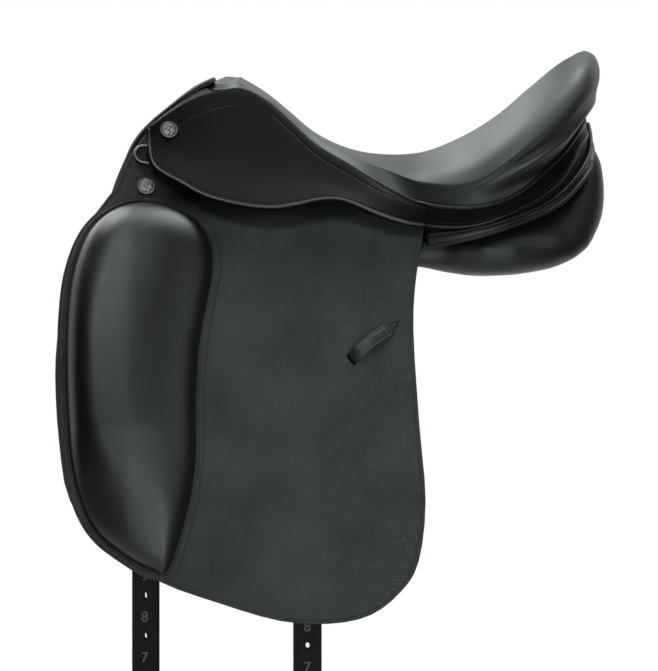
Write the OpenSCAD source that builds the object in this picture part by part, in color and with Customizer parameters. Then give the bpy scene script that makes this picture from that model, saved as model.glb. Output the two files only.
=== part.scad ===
// Dressage saddle, left side at +Y, pommel towards +X, millimetres.
// Origin on the mid plane, level with the lowest line of the panels.

/* [Seat] */
// Height of the pommel crest above the panel line
pommel_z = 200; // [190:1:215]
// Height of the lowest point of the seat
dip_z = 118.5; // [112:0.5:126]
// Height of the cantle crest
cantle_z = 229; // [215:1:245]
// Half width of the seat where it is widest
seat_half_w = 148; // [142:1:156]
// Padding over the pommel
pommel_pad = 13; // [11:1:15]
// Padding under the rider
seat_pad = 22; // [18:1:26]
// Padding inside the cantle roll
cantle_pad = 40; // [34:1:46]

/* [Tree] */
// Thickness of the laminated tree rails
tree_t = 9; // [7:0.5:11]
// Thickness of the seat webbing
web_t = 1.5; // [1:0.1:2.5]
// Thickness of the tree head
head_t = 11; // [9:0.5:13]
// Thickness of the steel gullet plate under the head
gullet_plate_t = 3; // [2:0.5:4]
// Radius of a tree rivet's shank
rivet_r = 2.5; // [2:0.1:3]

/* [Flaps] */
// Radius of the flap's outer face across the horse
flap_r = 820; // [800:5:860]
// Thickness of the flap leather
flap_t = 5; // [4:0.25:6]
// Depth of the flap below the panel line
flap_drop = 366; // [340:2:390]
// Reach of the flap's front edge ahead of the origin
flap_front = 285; // [276:1:300]
// Reach of the flap's rear edge behind the origin
flap_rear = 97; // [92:1:104]
// Thickness of the sweat flap leather
sweat_t = 4; // [3:0.25:5]
// Margin by which the sweat flap stops inside the flap
sweat_inset = 14; // [8:1:24]
// Height of the thigh block's crown over the flap
block_h = 40; // [28:1:44]

/* [Skirts] */
// Thickness of the skirt leather
skirt_t = 4; // [3:0.25:5]
// How far the skirt's lower edge stands off the flap
skirt_flare = 33; // [32:0.5:36]

/* [Billets] */
// Width of a front billet strap
front_billet_w = 26; // [24:1:32]
// Width of a rear billet strap
rear_billet_w = 29.4; // [24:0.2:32]
// Thickness of a billet strap
billet_t = 3.4; // [2.5:0.1:4]
// Number of buckle holes in a billet
billet_holes = 9; // [6:1:10]
// Distance between buckle holes
hole_pitch = 42; // [32:1:44]
// Width of a buckle hole
hole_w = 4; // [3.5:0.1:4]
// Length of a buckle hole
hole_l = 9.5; // [8:0.5:11]
// Height of the highest buckle hole of a front billet
front_hole_z = -338; // [-345:1:-330]
// Height of the highest buckle hole of a rear billet
rear_hole_z = -348; // [-355:1:-340]

/* [Stirrup bar] */
// Free length of the stirrup bar
bar_l = 52; // [46:1:58]
// Height of the stirrup bar's section
bar_w = 12; // [10:0.5:14]
// Thickness of the stirrup bar
bar_t = 5; // [4:0.25:5.5]
// Gap for the stirrup leather behind the bar
bar_gap = 7.75; // [7:0.25:8.5]
// Radius of the catch's pin
catch_pin_r = 2; // [1.5:0.1:2.5]
// Length of the catch past its pin
catch_l = 12; // [10:1:14]

/* [Fittings] */
// Diameter of a stud's head
stud_d = 16.6; // [14:0.2:18]
// Height of a stud's head
stud_h = 4; // [3:0.25:5]
// Wire diameter of a dee ring
dee_wire = 3.6; // [3:0.1:4]
// Length of the dee ring's straight bar
dee_bar = 24; // [22:1:28]
// Depth of the dee ring
dee_depth = 17; // [14:1:20]
// Width of the stirrup leather keeper
keeper_w = 16; // [12:0.5:20]
// Length of the stirrup leather keeper
keeper_l = 60; // [54:1:66]
// Clear height under the keeper
keeper_gap = 7; // [6:0.25:9]

/* [Hidden] */
$fn = 64;

leather = "#26282a";
black_leather = "#1c1d1f";
steel = "#b8bbbd";
beech = "#c9a877";
canvas = "#cfc6b2";

// Clearance between pieces that lie on each other
fit = 0.4;
// Clearance of a billet between the flap and the sweat flap
billet_fit = 0.9;
// Running clearance of a pin in its bore
running = 0.05;
far = 700;

// The side of the saddle is wrapped round one long cylinder on each side. Its axis runs forwards
// and rises by side_pitch, and lies side_y past the mid plane and side_z below the panel line.
side_pitch = 5.46;
// Half the saddle's width where the flaps hang straight down
side_half = 216;
side_y = flap_r - side_half;
side_z = -310;

flap_in = flap_r - flap_t;
billet_out = flap_in - billet_fit;
billet_in = billet_out - billet_t;
sweat_out = billet_in - billet_fit;
sweat_in = sweat_out - sweat_t;
head_out = flap_in - fit;
head_in = head_out - head_t;

// Line about which the flap folds up, given by its height over the origin
fold_z = 54;
function fold_height(x) = fold_z + x * tan(side_pitch);

function mix(a, b, t) = a + (b - a) * t;

// Slope at point i of a curve through [x, value] points
function slope(p, i) =
    let(j = max(i - 1, 0), k = min(i + 1, len(p) - 1)) (p[k][1] - p[j][1]) / (p[k][0] - p[j][0]);
function span(p, x, i = 0) = i >= len(p) - 2 || x <= p[i + 1][0] ? i : span(p, x, i + 1);
// Value at x of a smooth curve through [x, value] points, in order of rising x
function curve_at(p, x) =
    let(i = span(p, x), h = p[i + 1][0] - p[i][0], t = (x - p[i][0]) / h)
    (2 * t ^ 3 - 3 * t ^ 2 + 1) * p[i][1] + (t ^ 3 - 2 * t ^ 2 + t) * h * slope(p, i)
    + (3 * t ^ 2 - 2 * t ^ 3) * p[i + 1][1] + (t ^ 3 - t ^ 2) * h * slope(p, i + 1);

// Smooth line through points, with n steps to a span; before and after are the points past its ends
function spline(p, n, before = undef, after = undef) =
    let(last = len(p) - 1, a = is_undef(before) ? 2 * p[0] - p[1] : before,
        b = is_undef(after) ? 2 * p[last] - p[last - 1] : after)
    [for (i = [0:last - 1]) for (k = [0:i == last - 1 ? n : n - 1])
        let(t = k / n, p0 = i == 0 ? a : p[i - 1], p1 = p[i], p2 = p[i + 1],
            p3 = i == last - 1 ? b : p[i + 2])
        0.5 * (2 * p1 + (p2 - p0) * t + (2 * p0 - 5 * p1 + 4 * p2 - p3) * t ^ 2
               + (3 * p1 - p0 - 3 * p2 + p3) * t ^ 3)];
// Closed smooth line through points
function loop_line(p, n) =
    let(line = spline(concat(p, [p[0]]), n, p[len(p) - 1], p[1])) [for (i = [0:len(line) - 2]) line[i]];
function reversed(p) = [for (i = [len(p) - 1:-1:0]) p[i]];

// Solid through rings of equal length. Point j of an end ring faces point -j, and the end is zipped shut.
module skin(rings, closed = false) {
    n = len(rings[0]);
    m = len(rings);
    sides = [for (i = [0:m - (closed ? 1 : 2)]) for (j = [0:n - 1])
        let(a = i * n, b = ((i + 1) % m) * n, k = (j + 1) % n)
        each [[a + j, b + k, a + k], [a + j, b + j, b + k]]];
    function zip(base) = [for (j = [0:n / 2 - 1]) let(k = (n - j) % n)
        each concat(j + 1 == n - j - 1 ? [] : [[base + j, base + j + 1, base + n - j - 1]],
                    j == k ? [] : [[base + j, base + n - j - 1, base + k]])];
    ends = closed ? [] : concat(zip(0), [for (f = zip((m - 1) * n)) reversed(f)]);
    polyhedron(points = [for (r = rings) each r], faces = concat(sides, ends));
}

module opposite() mirror([0, 1, 0]) children();

// Side cylinder

// Puts what is drawn round the X axis onto the side cylinder's axis
module on_side() translate([0, -side_y, 0]) rotate([0, -side_pitch, 0]) translate([0, 0,
    side_z]) children();
// Puts children on the side surface at radius r: x forwards, y down the slope, z outwards
module at_side(x, z, r) {
    p = side_place(x, z);
    on_side() translate([p[0], 0, 0]) rotate([p[1] - 90, 0, 0]) translate([0, 0, r]) children();
}
// Place along the cylinder and angle round it of the side-view point x, z on the flap's face
function side_place(x, z) =
    [x * cos(side_pitch) + z * sin(side_pitch),
     asin((z * cos(side_pitch) - x * sin(side_pitch) - side_z) / flap_r)];
// Point at radius r that stands on the side-view point x, z of the flap's face
function side_point(x, z, r) =
    let(p = side_place(x, z), w = side_z + r * sin(p[1]))
    [p[0] * cos(side_pitch) - w * sin(side_pitch), r * cos(p[1]) - side_y,
     p[0] * sin(side_pitch) + w * cos(side_pitch)];
// Distance of the side cylinder's face of radius r from the mid plane at x, z
function side_face_y(x, z, r) =
    sqrt(r ^ 2 - (z * cos(side_pitch) - x * sin(side_pitch) - side_z) ^ 2) - side_y;

module side_shell(r_in, r_out)
    on_side() rotate([0, 90, 0]) difference() {
        cylinder(r = r_out, h = 2 * far, center = true, $fn = 180);
        cylinder(r = r_in, h = 2 * far + 2, center = true, $fn = 180);
    }
// Prism across the left half over a side-view outline
module side_prism(points)
    translate([0, far / 2, 0]) rotate([90, 0, 0]) linear_extrude(far / 2) polygon(points);
module side_sheet(r_in, r_out, points)
    intersection() {
        side_shell(r_in, r_out);
        side_prism(points);
    }

// Seat: ribs fan from the spine of the seat round its edge, from the pommel to the cantle.
// Each row holds the place along the seat and then, in the rib's own plane,
// the spine's x, the rib's bearing from forwards, the spine's height, dish, crest, bulge and edge
// as distance and height, and the padding at the spine and under the crest.
widest = seat_half_w;
seat_rows = [
    [0.00, [95.5, 6, pommel_z, 8, pommel_z, 14, pommel_z - 1, 19, pommel_z - 5, 21, pommel_z - 13,
            pommel_pad, pommel_pad]],
    [0.08, [92, 64, pommel_z, 15, pommel_z, 28, pommel_z - 3, 47, pommel_z - 7, 52, pommel_z - 13.5,
            pommel_pad, pommel_pad]],
    [0.16, [95, 88, pommel_z - 0.5, 18, pommel_z - 0.5, 32, pommel_z - 3, 54, pommel_z - 7,
            61, pommel_z - 12.5, pommel_pad, pommel_pad]],
    [0.25, [68, 90, pommel_z - 15, 20, pommel_z - 15, 40, pommel_z - 17, 61, pommel_z - 20,
            69, pommel_z - 24, pommel_pad, pommel_pad]],
    [0.33, [45, 90, dip_z + 48, 22, dip_z + 48, 45, dip_z + 45.5, 69, dip_z + 42, 79, dip_z + 38,
            pommel_pad, pommel_pad]],
    [0.42, [15, 90, dip_z + 23.5, 25, dip_z + 23.5, 55, dip_z + 22, 84, dip_z + 18, 96, dip_z + 10.5,
            16, 16]],
    [0.50, [-20, 90, dip_z + 7, 30, dip_z + 7.5, 62, dip_z + 6.5, 98, dip_z - 1, 109, dip_z - 10.5,
            seat_pad, seat_pad]],
    [0.58, [-60, 90, dip_z, 32, dip_z + 0.5, 68, dip_z + 2, 108, dip_z - 11, 121, dip_z - 34,
            seat_pad, seat_pad]],
    [0.66, [-98, 90, dip_z + 0.5, 36, dip_z + 2, 80, dip_z + 6, widest - 25, dip_z - 17,
            widest - 14, dip_z - 51, seat_pad, seat_pad - 0.5]],
    [0.74, [-122, 100, dip_z + 5.5, 48, dip_z + 9.5, 94, dip_z + 22, widest - 6, dip_z - 16,
            widest, dip_z - 54, seat_pad, seat_pad + 3.7]],
    [0.80, [-130, 114, dip_z + 9.5, 55, dip_z + 17.5, 104, dip_z + 43, widest + 4, dip_z + 2,
            widest + 4, dip_z - 46, seat_pad, seat_pad + 10]],
    [0.86, [-136, 132, dip_z + 12.5, 58, dip_z + 28.5, 108, cantle_z - 37.5, widest + 5, cantle_z - 75,
            widest, dip_z - 30, seat_pad, cantle_pad + 1]],
    [0.92, [-140, 150, dip_z + 14.5, 60, dip_z + 36.5, 114, cantle_z - 12.5, widest + 2, cantle_z - 44,
            widest - 10, dip_z + 4.5, seat_pad, cantle_pad + 6]],
    [1.00, [-144, 174, dip_z + 15.5, 60, dip_z + 39.5, 119, cantle_z - 1.5, 137, cantle_z - 22,
            120, dip_z + 33, seat_pad, cantle_pad]]
];
seat_ribs = 24;
// Thickness of the seat's sewn edge
seat_edge_t = 6;

function rib_row(u) = curve_at(seat_rows, u);
// Point of a rib at distance d from the spine and height z
function rib_point(row, p) = [row[0] + p[0] * cos(row[1]), p[0] * sin(row[1]), p[1]];
function rib_top(row) =
    spline([[0, row[2]], [row[3], row[4]], [row[5], row[6]], [row[7], row[8]], [row[9], row[10]]], 3,
        [-row[3], row[4]]);
function rib_under(row) =
    spline([[0, row[2] - row[11]], [row[3], row[4] - row[11]], [0.88 * row[5], row[6] - row[12]],
            [row[9] - 4, row[10] - seat_edge_t]], 3, [-row[3], row[4] - row[11]]);
// The rib's underside moved d away from the padding
function rib_below(row, d) =
    let(p = rib_under(row), last = len(p) - 1)
    [for (i = [0:last])
        let(v = i == 0 ? [1, 0] : p[min(i + 1, last)] - p[i - 1]) p[i] + d * [v[1], -v[0]] / norm(v)];
function flipped(p) = [p[0], -p[1], p[2]];
// Edge of the seat on the left, from the tail of the skirt to the pommel, as [x, [y, z]] with rising x
seat_edge = [for (i = [9:-1:1]) let(r = seat_rows[i][1]) [r[0] + r[9] * cos(r[1]),
    [r[9] * sin(r[1]), r[10]]]];

module seat() color(leather) {
    rings = [for (i = [0:seat_ribs])
        let(row = rib_row(i / seat_ribs), half = concat(rib_top(row), reversed(rib_under(row))),
            line = [for (p = half) rib_point(row, p)], last = len(line) - 1)
        concat(line, [for (j = [last - 1:-1:1]) flipped(line[j])])];
    skin(rings);
}

// First point of the underside that the tree rails cover, and the last
rail_from = 4;
rail_to = 8;
web_gap = 1;
tree_gap = web_t + 2 * web_gap;

module tree_rails() color(beech) {
    left = [for (i = [0:seat_ribs])
        let(row = rib_row(i / seat_ribs), top = rib_below(row, tree_gap),
            low = rib_below(row, tree_gap + tree_t))
        [for (p = concat([for (j = [rail_from:rail_to]) top[j]], [for (j = [rail_to:-1:rail_from]) low[j]]))
            rib_point(row, p)]];
    skin(concat(left, [for (i = [seat_ribs:-1:0]) [for (p = left[i]) flipped(p)]]), closed = true);
}

module seat_web() color(canvas) {
    rings = [for (i = [1:seat_ribs])
        let(row = rib_row(i / seat_ribs), top = rib_below(row, web_gap),
            low = rib_below(row, web_gap + web_t),
            line = [for (p = concat([for (j = [0:rail_from + 1]) top[j]],
                [for (j = [rail_from + 1:-1:0]) low[j]]))
                rib_point(row, p)], last = len(line) - 1)
        concat(line, [for (j = [last - 1:-1:1]) flipped(line[j])])];
    skin(reversed(rings));
}

// Bands under the seat's edge, from the tail of one skirt round the cantle to the other.
// They start at one rib of the seat. Inset is how far the band's face lies inside the seat's edge,
// and drop and tall give its top and height.
band_from = 16;
function band_ring(u, inset, thick, drop, tall) =
    let(row = rib_row(u), out = row[9] - inset, top = row[10] - drop)
    [for (p = [[out - thick, top], [out - 1, top], [out, top - 1], [out + 1, top - tall / 2],
        [out, top - tall + 1],
               [out - 1, top - tall], [out - thick, top - tall],
                   [out - thick, top - tall / 2]]) rib_point(row, p)];
module band(inset, thick, drop, tall_front, tall_rear) {
    left = [for (i = [band_from:seat_ribs]) let(t = (i - band_from) / (seat_ribs - band_from))
        band_ring(i / seat_ribs, inset, thick, mix(drop[0], drop[1], t), mix(tall_front, tall_rear, t))];
    skin(concat(left, [for (i = [len(left) - 1:-1:0]) [for (p = left[i]) flipped(p)]]));
}
cantle_band_t = 5;
cantle_band_front = 16;
cantle_band_rear = 8;
panel_facing_front = 13;
panel_facing_rear = 8;
module cantle_band() color(leather)
    band(0, cantle_band_t, [seat_edge_t + 2 * fit, seat_edge_t + 2 * fit], cantle_band_front,
        cantle_band_rear);
module panel_facing() color(black_leather)
    band(5, cantle_band_t, [seat_edge_t + 3 * fit + cantle_band_front,
        seat_edge_t + 3 * fit + cantle_band_rear],
         panel_facing_front, panel_facing_rear);

// Arches over the withers, as points [y, height] in the side cylinder's own frame.
// An arch follows the side cylinder at radius r up to the angle lean and closes in a round crown there.
function arch(r, lean, low) =
    let(reach = side_y / cos(lean), crown = r - reach, top = side_z + reach * sin(lean),
        foot = asin((low - side_z) / r), side_steps = 8, crown_steps = 10,
        half = concat([for (i = [0:side_steps - 1]) let(a = mix(foot, lean, i / side_steps))
                           [r * cos(a) - side_y, side_z + r * sin(a)]],
                      [for (i = [0:crown_steps]) let(a = mix(lean, 90, i / crown_steps))
                           [crown * cos(a), top + crown * sin(a)]]))
    concat(half, [for (i = [len(half) - 2:-1:0]) [-half[i][0], half[i][1]]]);
// Lean at which an arch of radius r has its crown at a height
function arch_lean(r, height) = 90 - 2 * atan((r + side_z - height) / side_y);
module arch_band(r_out, r_in, lean, low)
    rotate([0, -side_pitch, 0]) rotate([90, 0, 90])
        translate([0, 0, -far / 2]) linear_extrude(far) polygon(concat(arch(r_out, lean, low),
            reversed(arch(r_in, lean, low))));
// Prism right across the saddle over a side-view outline
module cross_prism(points)
    translate([0, far / 2, 0]) rotate([90, 0, 0]) linear_extrude(far) polygon(points);

// Height of the crown of the tree's head in the side cylinder's own frame
head_top = 159.39;
head_lean = arch_lean(head_out, head_top);
point_x = 192;
point_z = 72;
wing_z = 60;
head_outline = concat(
    spline([[point_x - 16, point_z + 6], [point_x, point_z], [206, 90], [197, 120], [166, 158],
        [128, 178]], 4),
    [[84, 166.5], [16, 106.5], [8, 96]],
    spline([[8, wing_z + 8], [18, wing_z], [44, wing_z], [120, wing_z + 6], [158, wing_z + 9]], 3));
head_low = 30;

// Rivets through the head and the gullet plate, as side-view places on the left
head_rivets = [[178, 110], [158, 106], [184, 92]];
rivet_head_r = 5;
rivet_head_h = 1.5;
module head_rivet_bores()
    for (p = head_rivets) {
        at_side(p[0], p[1], head_in - 12) cylinder(r = rivet_r + running, h = head_t + 24);
        opposite() at_side(p[0], p[1], head_in - 12) cylinder(r = rivet_r + running, h = head_t + 24);
    }

module tree_head() color(beech)
    difference() {
        intersection() {
            arch_band(head_out, head_in, head_lean, head_low);
            cross_prism(head_outline);
        }
        head_rivet_bores();
        bar_rivet_bores();
        opposite() bar_rivet_bores();
    }

gullet_out = head_in - fit;
gullet_in = gullet_out - gullet_plate_t;
gullet_outline = concat(
    spline([[172, 82], [188, 80], [200, 96], [188, 122], [160, 152], [126, 172]], 4),
        [[104, 172], [104, 150], [150, 112]]);
module gullet_plate() color(steel)
    difference() {
        intersection() {
            arch_band(gullet_out, gullet_in, head_lean, head_low);
            cross_prism(gullet_outline);
        }
        head_rivet_bores();
    }

module tree_rivet(p)
    at_side(p[0], p[1], 0) {
        translate([0, 0, gullet_in - rivet_head_h - 0.2]) cylinder(r = rivet_head_r, h = rivet_head_h);
        translate([0, 0, gullet_in - rivet_head_h]) cylinder(r = rivet_r,
            h = head_out - gullet_in + rivet_head_h);
    }
module tree_rivets() color(steel)
    for (p = head_rivets) {
        tree_rivet(p);
        opposite() tree_rivet(p);
    }

// Front edge of the saddle in the side view, from the foot of the ear to the pommel, as [z, x]
front_edge = [[60, 234], [83, 226], [109, 215], [123, 208.5], [136, 199.5], [149, 187.5], [162, 173],
    [176, 157], [189, 140], [199, 122]];

// Leather facing that closes the pommel in front, between the arch of the head and the seat
// Its crown's height in the side cylinder's own frame
facing_top = 186.15;
facing_lean = arch_lean(head_out, facing_top);
facing_t = 6;
facing_back = 1;
facing_low = 66;
function facing_point(p, back) =
    let(z = p[1] * cos(side_pitch) + 140 * sin(side_pitch),
        x = curve_at(front_edge, min(z, 199)) - facing_back - back)
    [x, p[0], (p[1] + x * sin(side_pitch)) / cos(side_pitch)];
module pommel_facing() color(black_leather) {
    outer = arch(head_out, facing_lean, facing_low);
    inner = arch(gullet_in - 6, head_lean, facing_low);
    rings = [for (i = [0:len(outer) - 1])
        let(o = outer[i], q = inner[i], mid = (o + q) / 2)
        [facing_point(o, 0), facing_point(mid, -1), facing_point(q, 1),
         facing_point(q, facing_t), facing_point(mid, facing_t), facing_point(o, facing_t)]];
    skin(reversed(rings));
}

// Lining under the head and along the channel between the panels
lining_t = 3;
channel_half = 30;
lining_out = gullet_in - 2;
module gullet_lining() color(black_leather)
    intersection() {
        arch_band(lining_out, lining_out - lining_t, head_lean, head_low);
        cross_prism(concat(spline([[197, 104], [186, 120], [158, 148], [118, 166]], 4),
                           [[84, 156], [70, 126], [84, 112], [150, 100]]));
    }

// Outer corner of a panel's section, against the sweat flap
function panel_corner(x, z) = [side_face_y(x, z, sweat_in - fit), z];
// Panels: each row holds x and the corners of the left panel's section:
// inner top, outer top, outer bottom and inner bottom, as y and z
panel_rows = [
    [-284, [[28, 94], [35, 94], [40, 72], [32, 72]]],
    [-281, [[20, 110], [44, 106], [54, 56], [34, 58]]],
    [-275, [[12, 140], [52, 130], [72, 36], [36, 42]]],
    [-268.5, [[10, 146], [60, 116], [82, 24], [36, 34]]],
    [-258, [[20, 106], [78, 88], [92, 13], [36, 28]]],
    [-238, [[26, 92], [104, 64], [108, 2], [36, 18]]],
    [-180, [[30, 76], [140, 40], [126, -7], [36, 12]]],
    [-116, [[32, 66], [132, 32], [122, -3], [36, 14]]],
    [-60, [[34, 74], panel_corner(-60, 52), panel_corner(-60, 2), [36, 20]]],
    [0, [[36, 88], panel_corner(0, 54), panel_corner(0, 16), [38, 32]]],
    [80, [[48, 100], panel_corner(80, 58), panel_corner(80, 26), [46, 58]]],
    [150, [[66, 94], panel_corner(150, 56), panel_corner(150, 38), [68, 66]]],
    [198, [[84, 82], panel_corner(198, 54), panel_corner(198, 44), [92, 64]]]
];
panel_rings = 26;
panel_steps = 20;
function squircle(a) = [sign(cos(a)) * abs(cos(a)) ^ 0.55, sign(sin(a)) * abs(sin(a)) ^ 0.55];
function panel_ring(x) =
    let(c = curve_at(panel_rows, x))
    [for (k = [0:panel_steps - 1])
        let(q = squircle(90 - 360 * k / panel_steps), s = (q[0] + 1) / 2, t = (1 - q[1]) / 2,
            p = mix(mix(c[0], c[1], s), mix(c[3], c[2], s), t)) [x, p[0], p[1]]];
module panel() color(black_leather) {
    first = panel_rows[0][0];
    last = panel_rows[len(panel_rows) - 1][0];
    skin([for (i = [panel_rings:-1:0])
        let(t = i / panel_rings, s = t < 0.3 ? t ^ 1.6 / 0.3 ^ 0.6 : t) panel_ring(mix(first, last, s))]);
}

// Pocket on the panel that the tree's point slides into
pocket_t = 2.5;
pocket_outline = spline([[point_x - 20, point_z + 22], [point_x - 16, point_z + 2], [point_x, point_z - 4],
                         [point_x + 14, point_z + 12], [point_x + 11, point_z + 26]], 4);
module point_pocket() color(black_leather)
    side_sheet(gullet_in - 2 * fit - rivet_head_h - pocket_t, gullet_in - 2 * fit - rivet_head_h,
        pocket_outline);

// Flap: one hide that folds along a straight line just below the skirt
flap_curve = spline([
    [-flap_rear, fold_height(-flap_rear) - fit], [8.5 - flap_rear, -5], [11.7 - flap_rear, -62],
        [5.5 - flap_rear, -161],
    [-flap_rear - 0.8, 127 - flap_drop], [6.5 - flap_rear, 64 - flap_drop],
        [25 - flap_rear, 33 - flap_drop],
    [56 - flap_rear, 9 - flap_drop], [98 - flap_rear, -flap_drop], [150 - flap_rear, 3 - flap_drop],
    [flap_front - 170, 21 - flap_drop], [flap_front - 107, 44 - flap_drop],
        [flap_front - 53, 80 - flap_drop],
    [flap_front - 15.5, 127 - flap_drop], [flap_front - 4, -177], [flap_front, -109], [flap_front - 3, -62],
    [flap_front - 11, -5], [flap_front - 29, 41], [flap_front - 54, fold_height(flap_front - 54) - fit]],
        3);
module flap() color(leather) side_sheet(flap_in, flap_r, flap_curve);

// Upper part of the flap, nailed to the tree under the skirt; it runs up to the ear at the pommel
ear_outline = concat(
    [[-flap_rear, fold_height(-flap_rear) + fit], [-flap_rear, 54]],
    [for (x = [-78, -55, -31, 0, 22, 48, 68, 92]) [x, curve_at(seat_edge, x)[1] - 15]],
    [[118, 168], [150, 160], [176, 148]],
    [for (z = [150, 140, 130, 120, 109, 96, 85]) [curve_at(front_edge, z) - 1, z - 2]],
    [[flap_front - 54, fold_height(flap_front - 54) + fit]]);
module flap_top() color(leather)
    difference() {
        side_sheet(flap_in, flap_r, ear_outline);
        at_side(bar_x, bar_z, flap_in - 1) translate([-base_back - 1, -base_w / 2 - 1,
            0]) cube([bar_l + base_back + base_front + 2, base_w + 2, flap_t + 2]);
    }

sweat_curve = spline([
    [-flap_rear + sweat_inset, 30], [sweat_inset + 10 - flap_rear, -62],
        [sweat_inset + 4 - flap_rear, -161],
    [sweat_inset - flap_rear, 130 - flap_drop], [sweat_inset + 22 - flap_rear, 44 - flap_drop],
    [sweat_inset + 56 - flap_rear, sweat_inset + 9 - flap_drop], [100 - flap_rear, sweat_inset - flap_drop],
    [150 - flap_rear, sweat_inset + 3 - flap_drop], [flap_front - 170 - sweat_inset / 2,
        sweat_inset + 21 - flap_drop],
    [flap_front - 60 - sweat_inset, 85 + sweat_inset - flap_drop], [flap_front - 4 - sweat_inset, -177],
    [flap_front - sweat_inset, -109], [flap_front - 11 - sweat_inset, -5],
        [flap_front - 54 - sweat_inset, 46]], 3);
module sweat_flap() color(black_leather) side_sheet(sweat_in, sweat_out, concat(sweat_curve, [[60, 40]]));

// Thigh block: rings of a side-view outline drawn in towards its spine and raised off the flap
block_outline = loop_line([
    [198, 66], [166, 62], [139, 49], [125, 27], [123, 0], [129, -34], [137, -80], [140, -135],
        [140, -190], [147, -240],
    [160, -287], [172, -313], [188, -309], [206, -299], [238, -275], [256, -246], [267, -205],
        [271.5, -156], [273.5, -103],
    [272.5, -50], [267, -5], [252, 34], [228, 57]], 2);
// Crest of the block: along its front edge, then across to a keel at its tail
block_spine = [[214, 8], [236, -45], [239, -135], [231, -180], [208, -214], [182, -246], [175, -292]];
// Each step is how far the ring is drawn in to the spine and its share of the crown's height
block_steps = [[0.9, 0.04], [0.6, 0.01], [0.3, 0], [0.03, 0], [0, 0.12], [0, 0.35], [0.05, 0.62],
    [0.16, 0.84], [0.34, 0.96], [0.62, 1], [0.9, 1]];
function nearest(p, z) = let(q = [for (i = [len(block_spine) - 1:-1:0]) [block_spine[i][1],
    block_spine[i][0]]],
                             s = min(max(z, q[0][0]), q[len(q) - 1][0])) [curve_at(q, s), s];
// The block is full in front and thins towards its tail
function block_rise(p) = block_h * mix(0.45, 1, min(max((p[1] + 315) / 150, 0), 1)) * mix(0.8, 1,
    min(max((p[0] - 120) / 90, 0), 1));
module thigh_block() color(leather) {
    rings = [for (s = block_steps)
        [for (p = block_outline) let(q = mix(p, nearest(p, p[1]), s[0])) side_point(q[0], q[1],
            flap_r + fit + s[1] * block_rise(q))]];
    skin(reversed(rings));
}

// Keeper for the stirrup leather: a strap bridge on the flap
keeper_x = -43;
keeper_z = -76;
keeper_turn = 37;
keeper_strap_t = 3;
keeper_foot = 7;
keeper_rise = keeper_gap + keeper_strap_t;
module keeper() color(leather)
    at_side(keeper_x, keeper_z, flap_r + fit) rotate([0, 0, keeper_turn + 180]) translate([0,
        keeper_w / 2, 0])
        rotate([90, 0, 0]) linear_extrude(keeper_w) polygon([
            [-keeper_l / 2, 0], [-keeper_l / 2, keeper_strap_t], [-keeper_l / 2 + keeper_foot, keeper_rise],
            [keeper_l / 2 - 3 * keeper_foot, keeper_rise], [keeper_l / 2 - keeper_foot, keeper_strap_t],
                [keeper_l / 2, keeper_strap_t],
            [keeper_l / 2, 0], [keeper_l / 2 - keeper_foot, 0],
                [keeper_l / 2 - 3 * keeper_foot - 1, keeper_gap],
            [-keeper_l / 2 + keeper_foot + 1, keeper_gap], [-keeper_l / 2 + 3, 0]]);

// Skirt: the fold line is straight, from the front of the pommel to the tail
skirt_stand_front = 14.17;
skirt_stand_rear = 20.88;
// Point over the flap in the side view, a distance out from its face
function over_flap(x, z, out) = [x, side_face_y(x, z, flap_r) + out, z];
skirt_fold_front = over_flap(184, 133, skirt_stand_front);
skirt_fold_rear = over_flap(-96, 65, skirt_stand_rear);
skirt_tail = -100;
skirt_nose = 191;
lobe_nose = 189;
skirt_steps = 30;
function skirt_fold(x) = mix(skirt_fold_rear, skirt_fold_front,
    (x - skirt_fold_rear[0]) / (skirt_fold_front[0] - skirt_fold_rear[0]));
// Upper edge of the skirt along the seat's edge and on down the front of the pommel, as [x, [y, z]]
skirt_upper = concat([for (e = seat_edge) if (e[0] < 105) [e[0], e[1] + [2 * fit, 0.5]]],
                     [for (p = [over_flap(124, 186, 10.6), over_flap(156, 172, 17.54),
                                over_flap(skirt_nose, 147, 16.88)]) [p[0], [p[1], p[2]]]]);
// Lower edge of the skirt in the side view, as [x, z]
skirt_lower = [[skirt_tail, 46], [-80, 48], [-50, 57], [-22, 69], [-5, 73.5], [14, 72.5], [34, 68],
    [60, 64.5], [90, 67],
               [130, 77], [157, 91.5], [176, 102], [184, 110], [lobe_nose, 124]];
function skirt_low_y(x) = side_face_y(x, curve_at(skirt_lower, x), flap_r)
    + skirt_flare * mix(0.36, 1, max(0, sin(180 * min(max((x - skirt_tail) / (skirt_nose - skirt_tail),
        0), 1))) ^ 0.6);
skirt_across = skirt_t / cos(30);
// Sheet between two side-view edges given as points, left face outwards
module skirt_sheet(nose, upper, lower, rows) {
    rings = [for (i = [0:skirt_steps])
        let(x = mix(skirt_tail, nose, i / skirt_steps), a = upper(x), b = lower(x))
        concat([for (k = [0:rows]) mix(a, b, k / rows) + [0, skirt_across, 0]],
            [for (k = [rows:-1:0]) mix(a, b, k / rows)])];
    skin(reversed(rings));
}
function skirt_top_edge(x) = let(e = curve_at(skirt_upper, x)) [x, e[0], e[1]];
function skirt_fold_edge(x, gap) = let(f = skirt_fold(x)) [x, f[1] - skirt_across, f[2] + gap];
function skirt_low_edge(x) = [x, skirt_low_y(x) - skirt_across, curve_at(skirt_lower, x)];
module skirt_top() color(leather) skirt_sheet(skirt_nose, function(x) skirt_top_edge(x),
    function(x) skirt_fold_edge(x, fit), 3);
module skirt() color(leather) skirt_sheet(lobe_nose, function(x) skirt_fold_edge(x, -fit),
    function(x) skirt_low_edge(x), 3);

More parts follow.
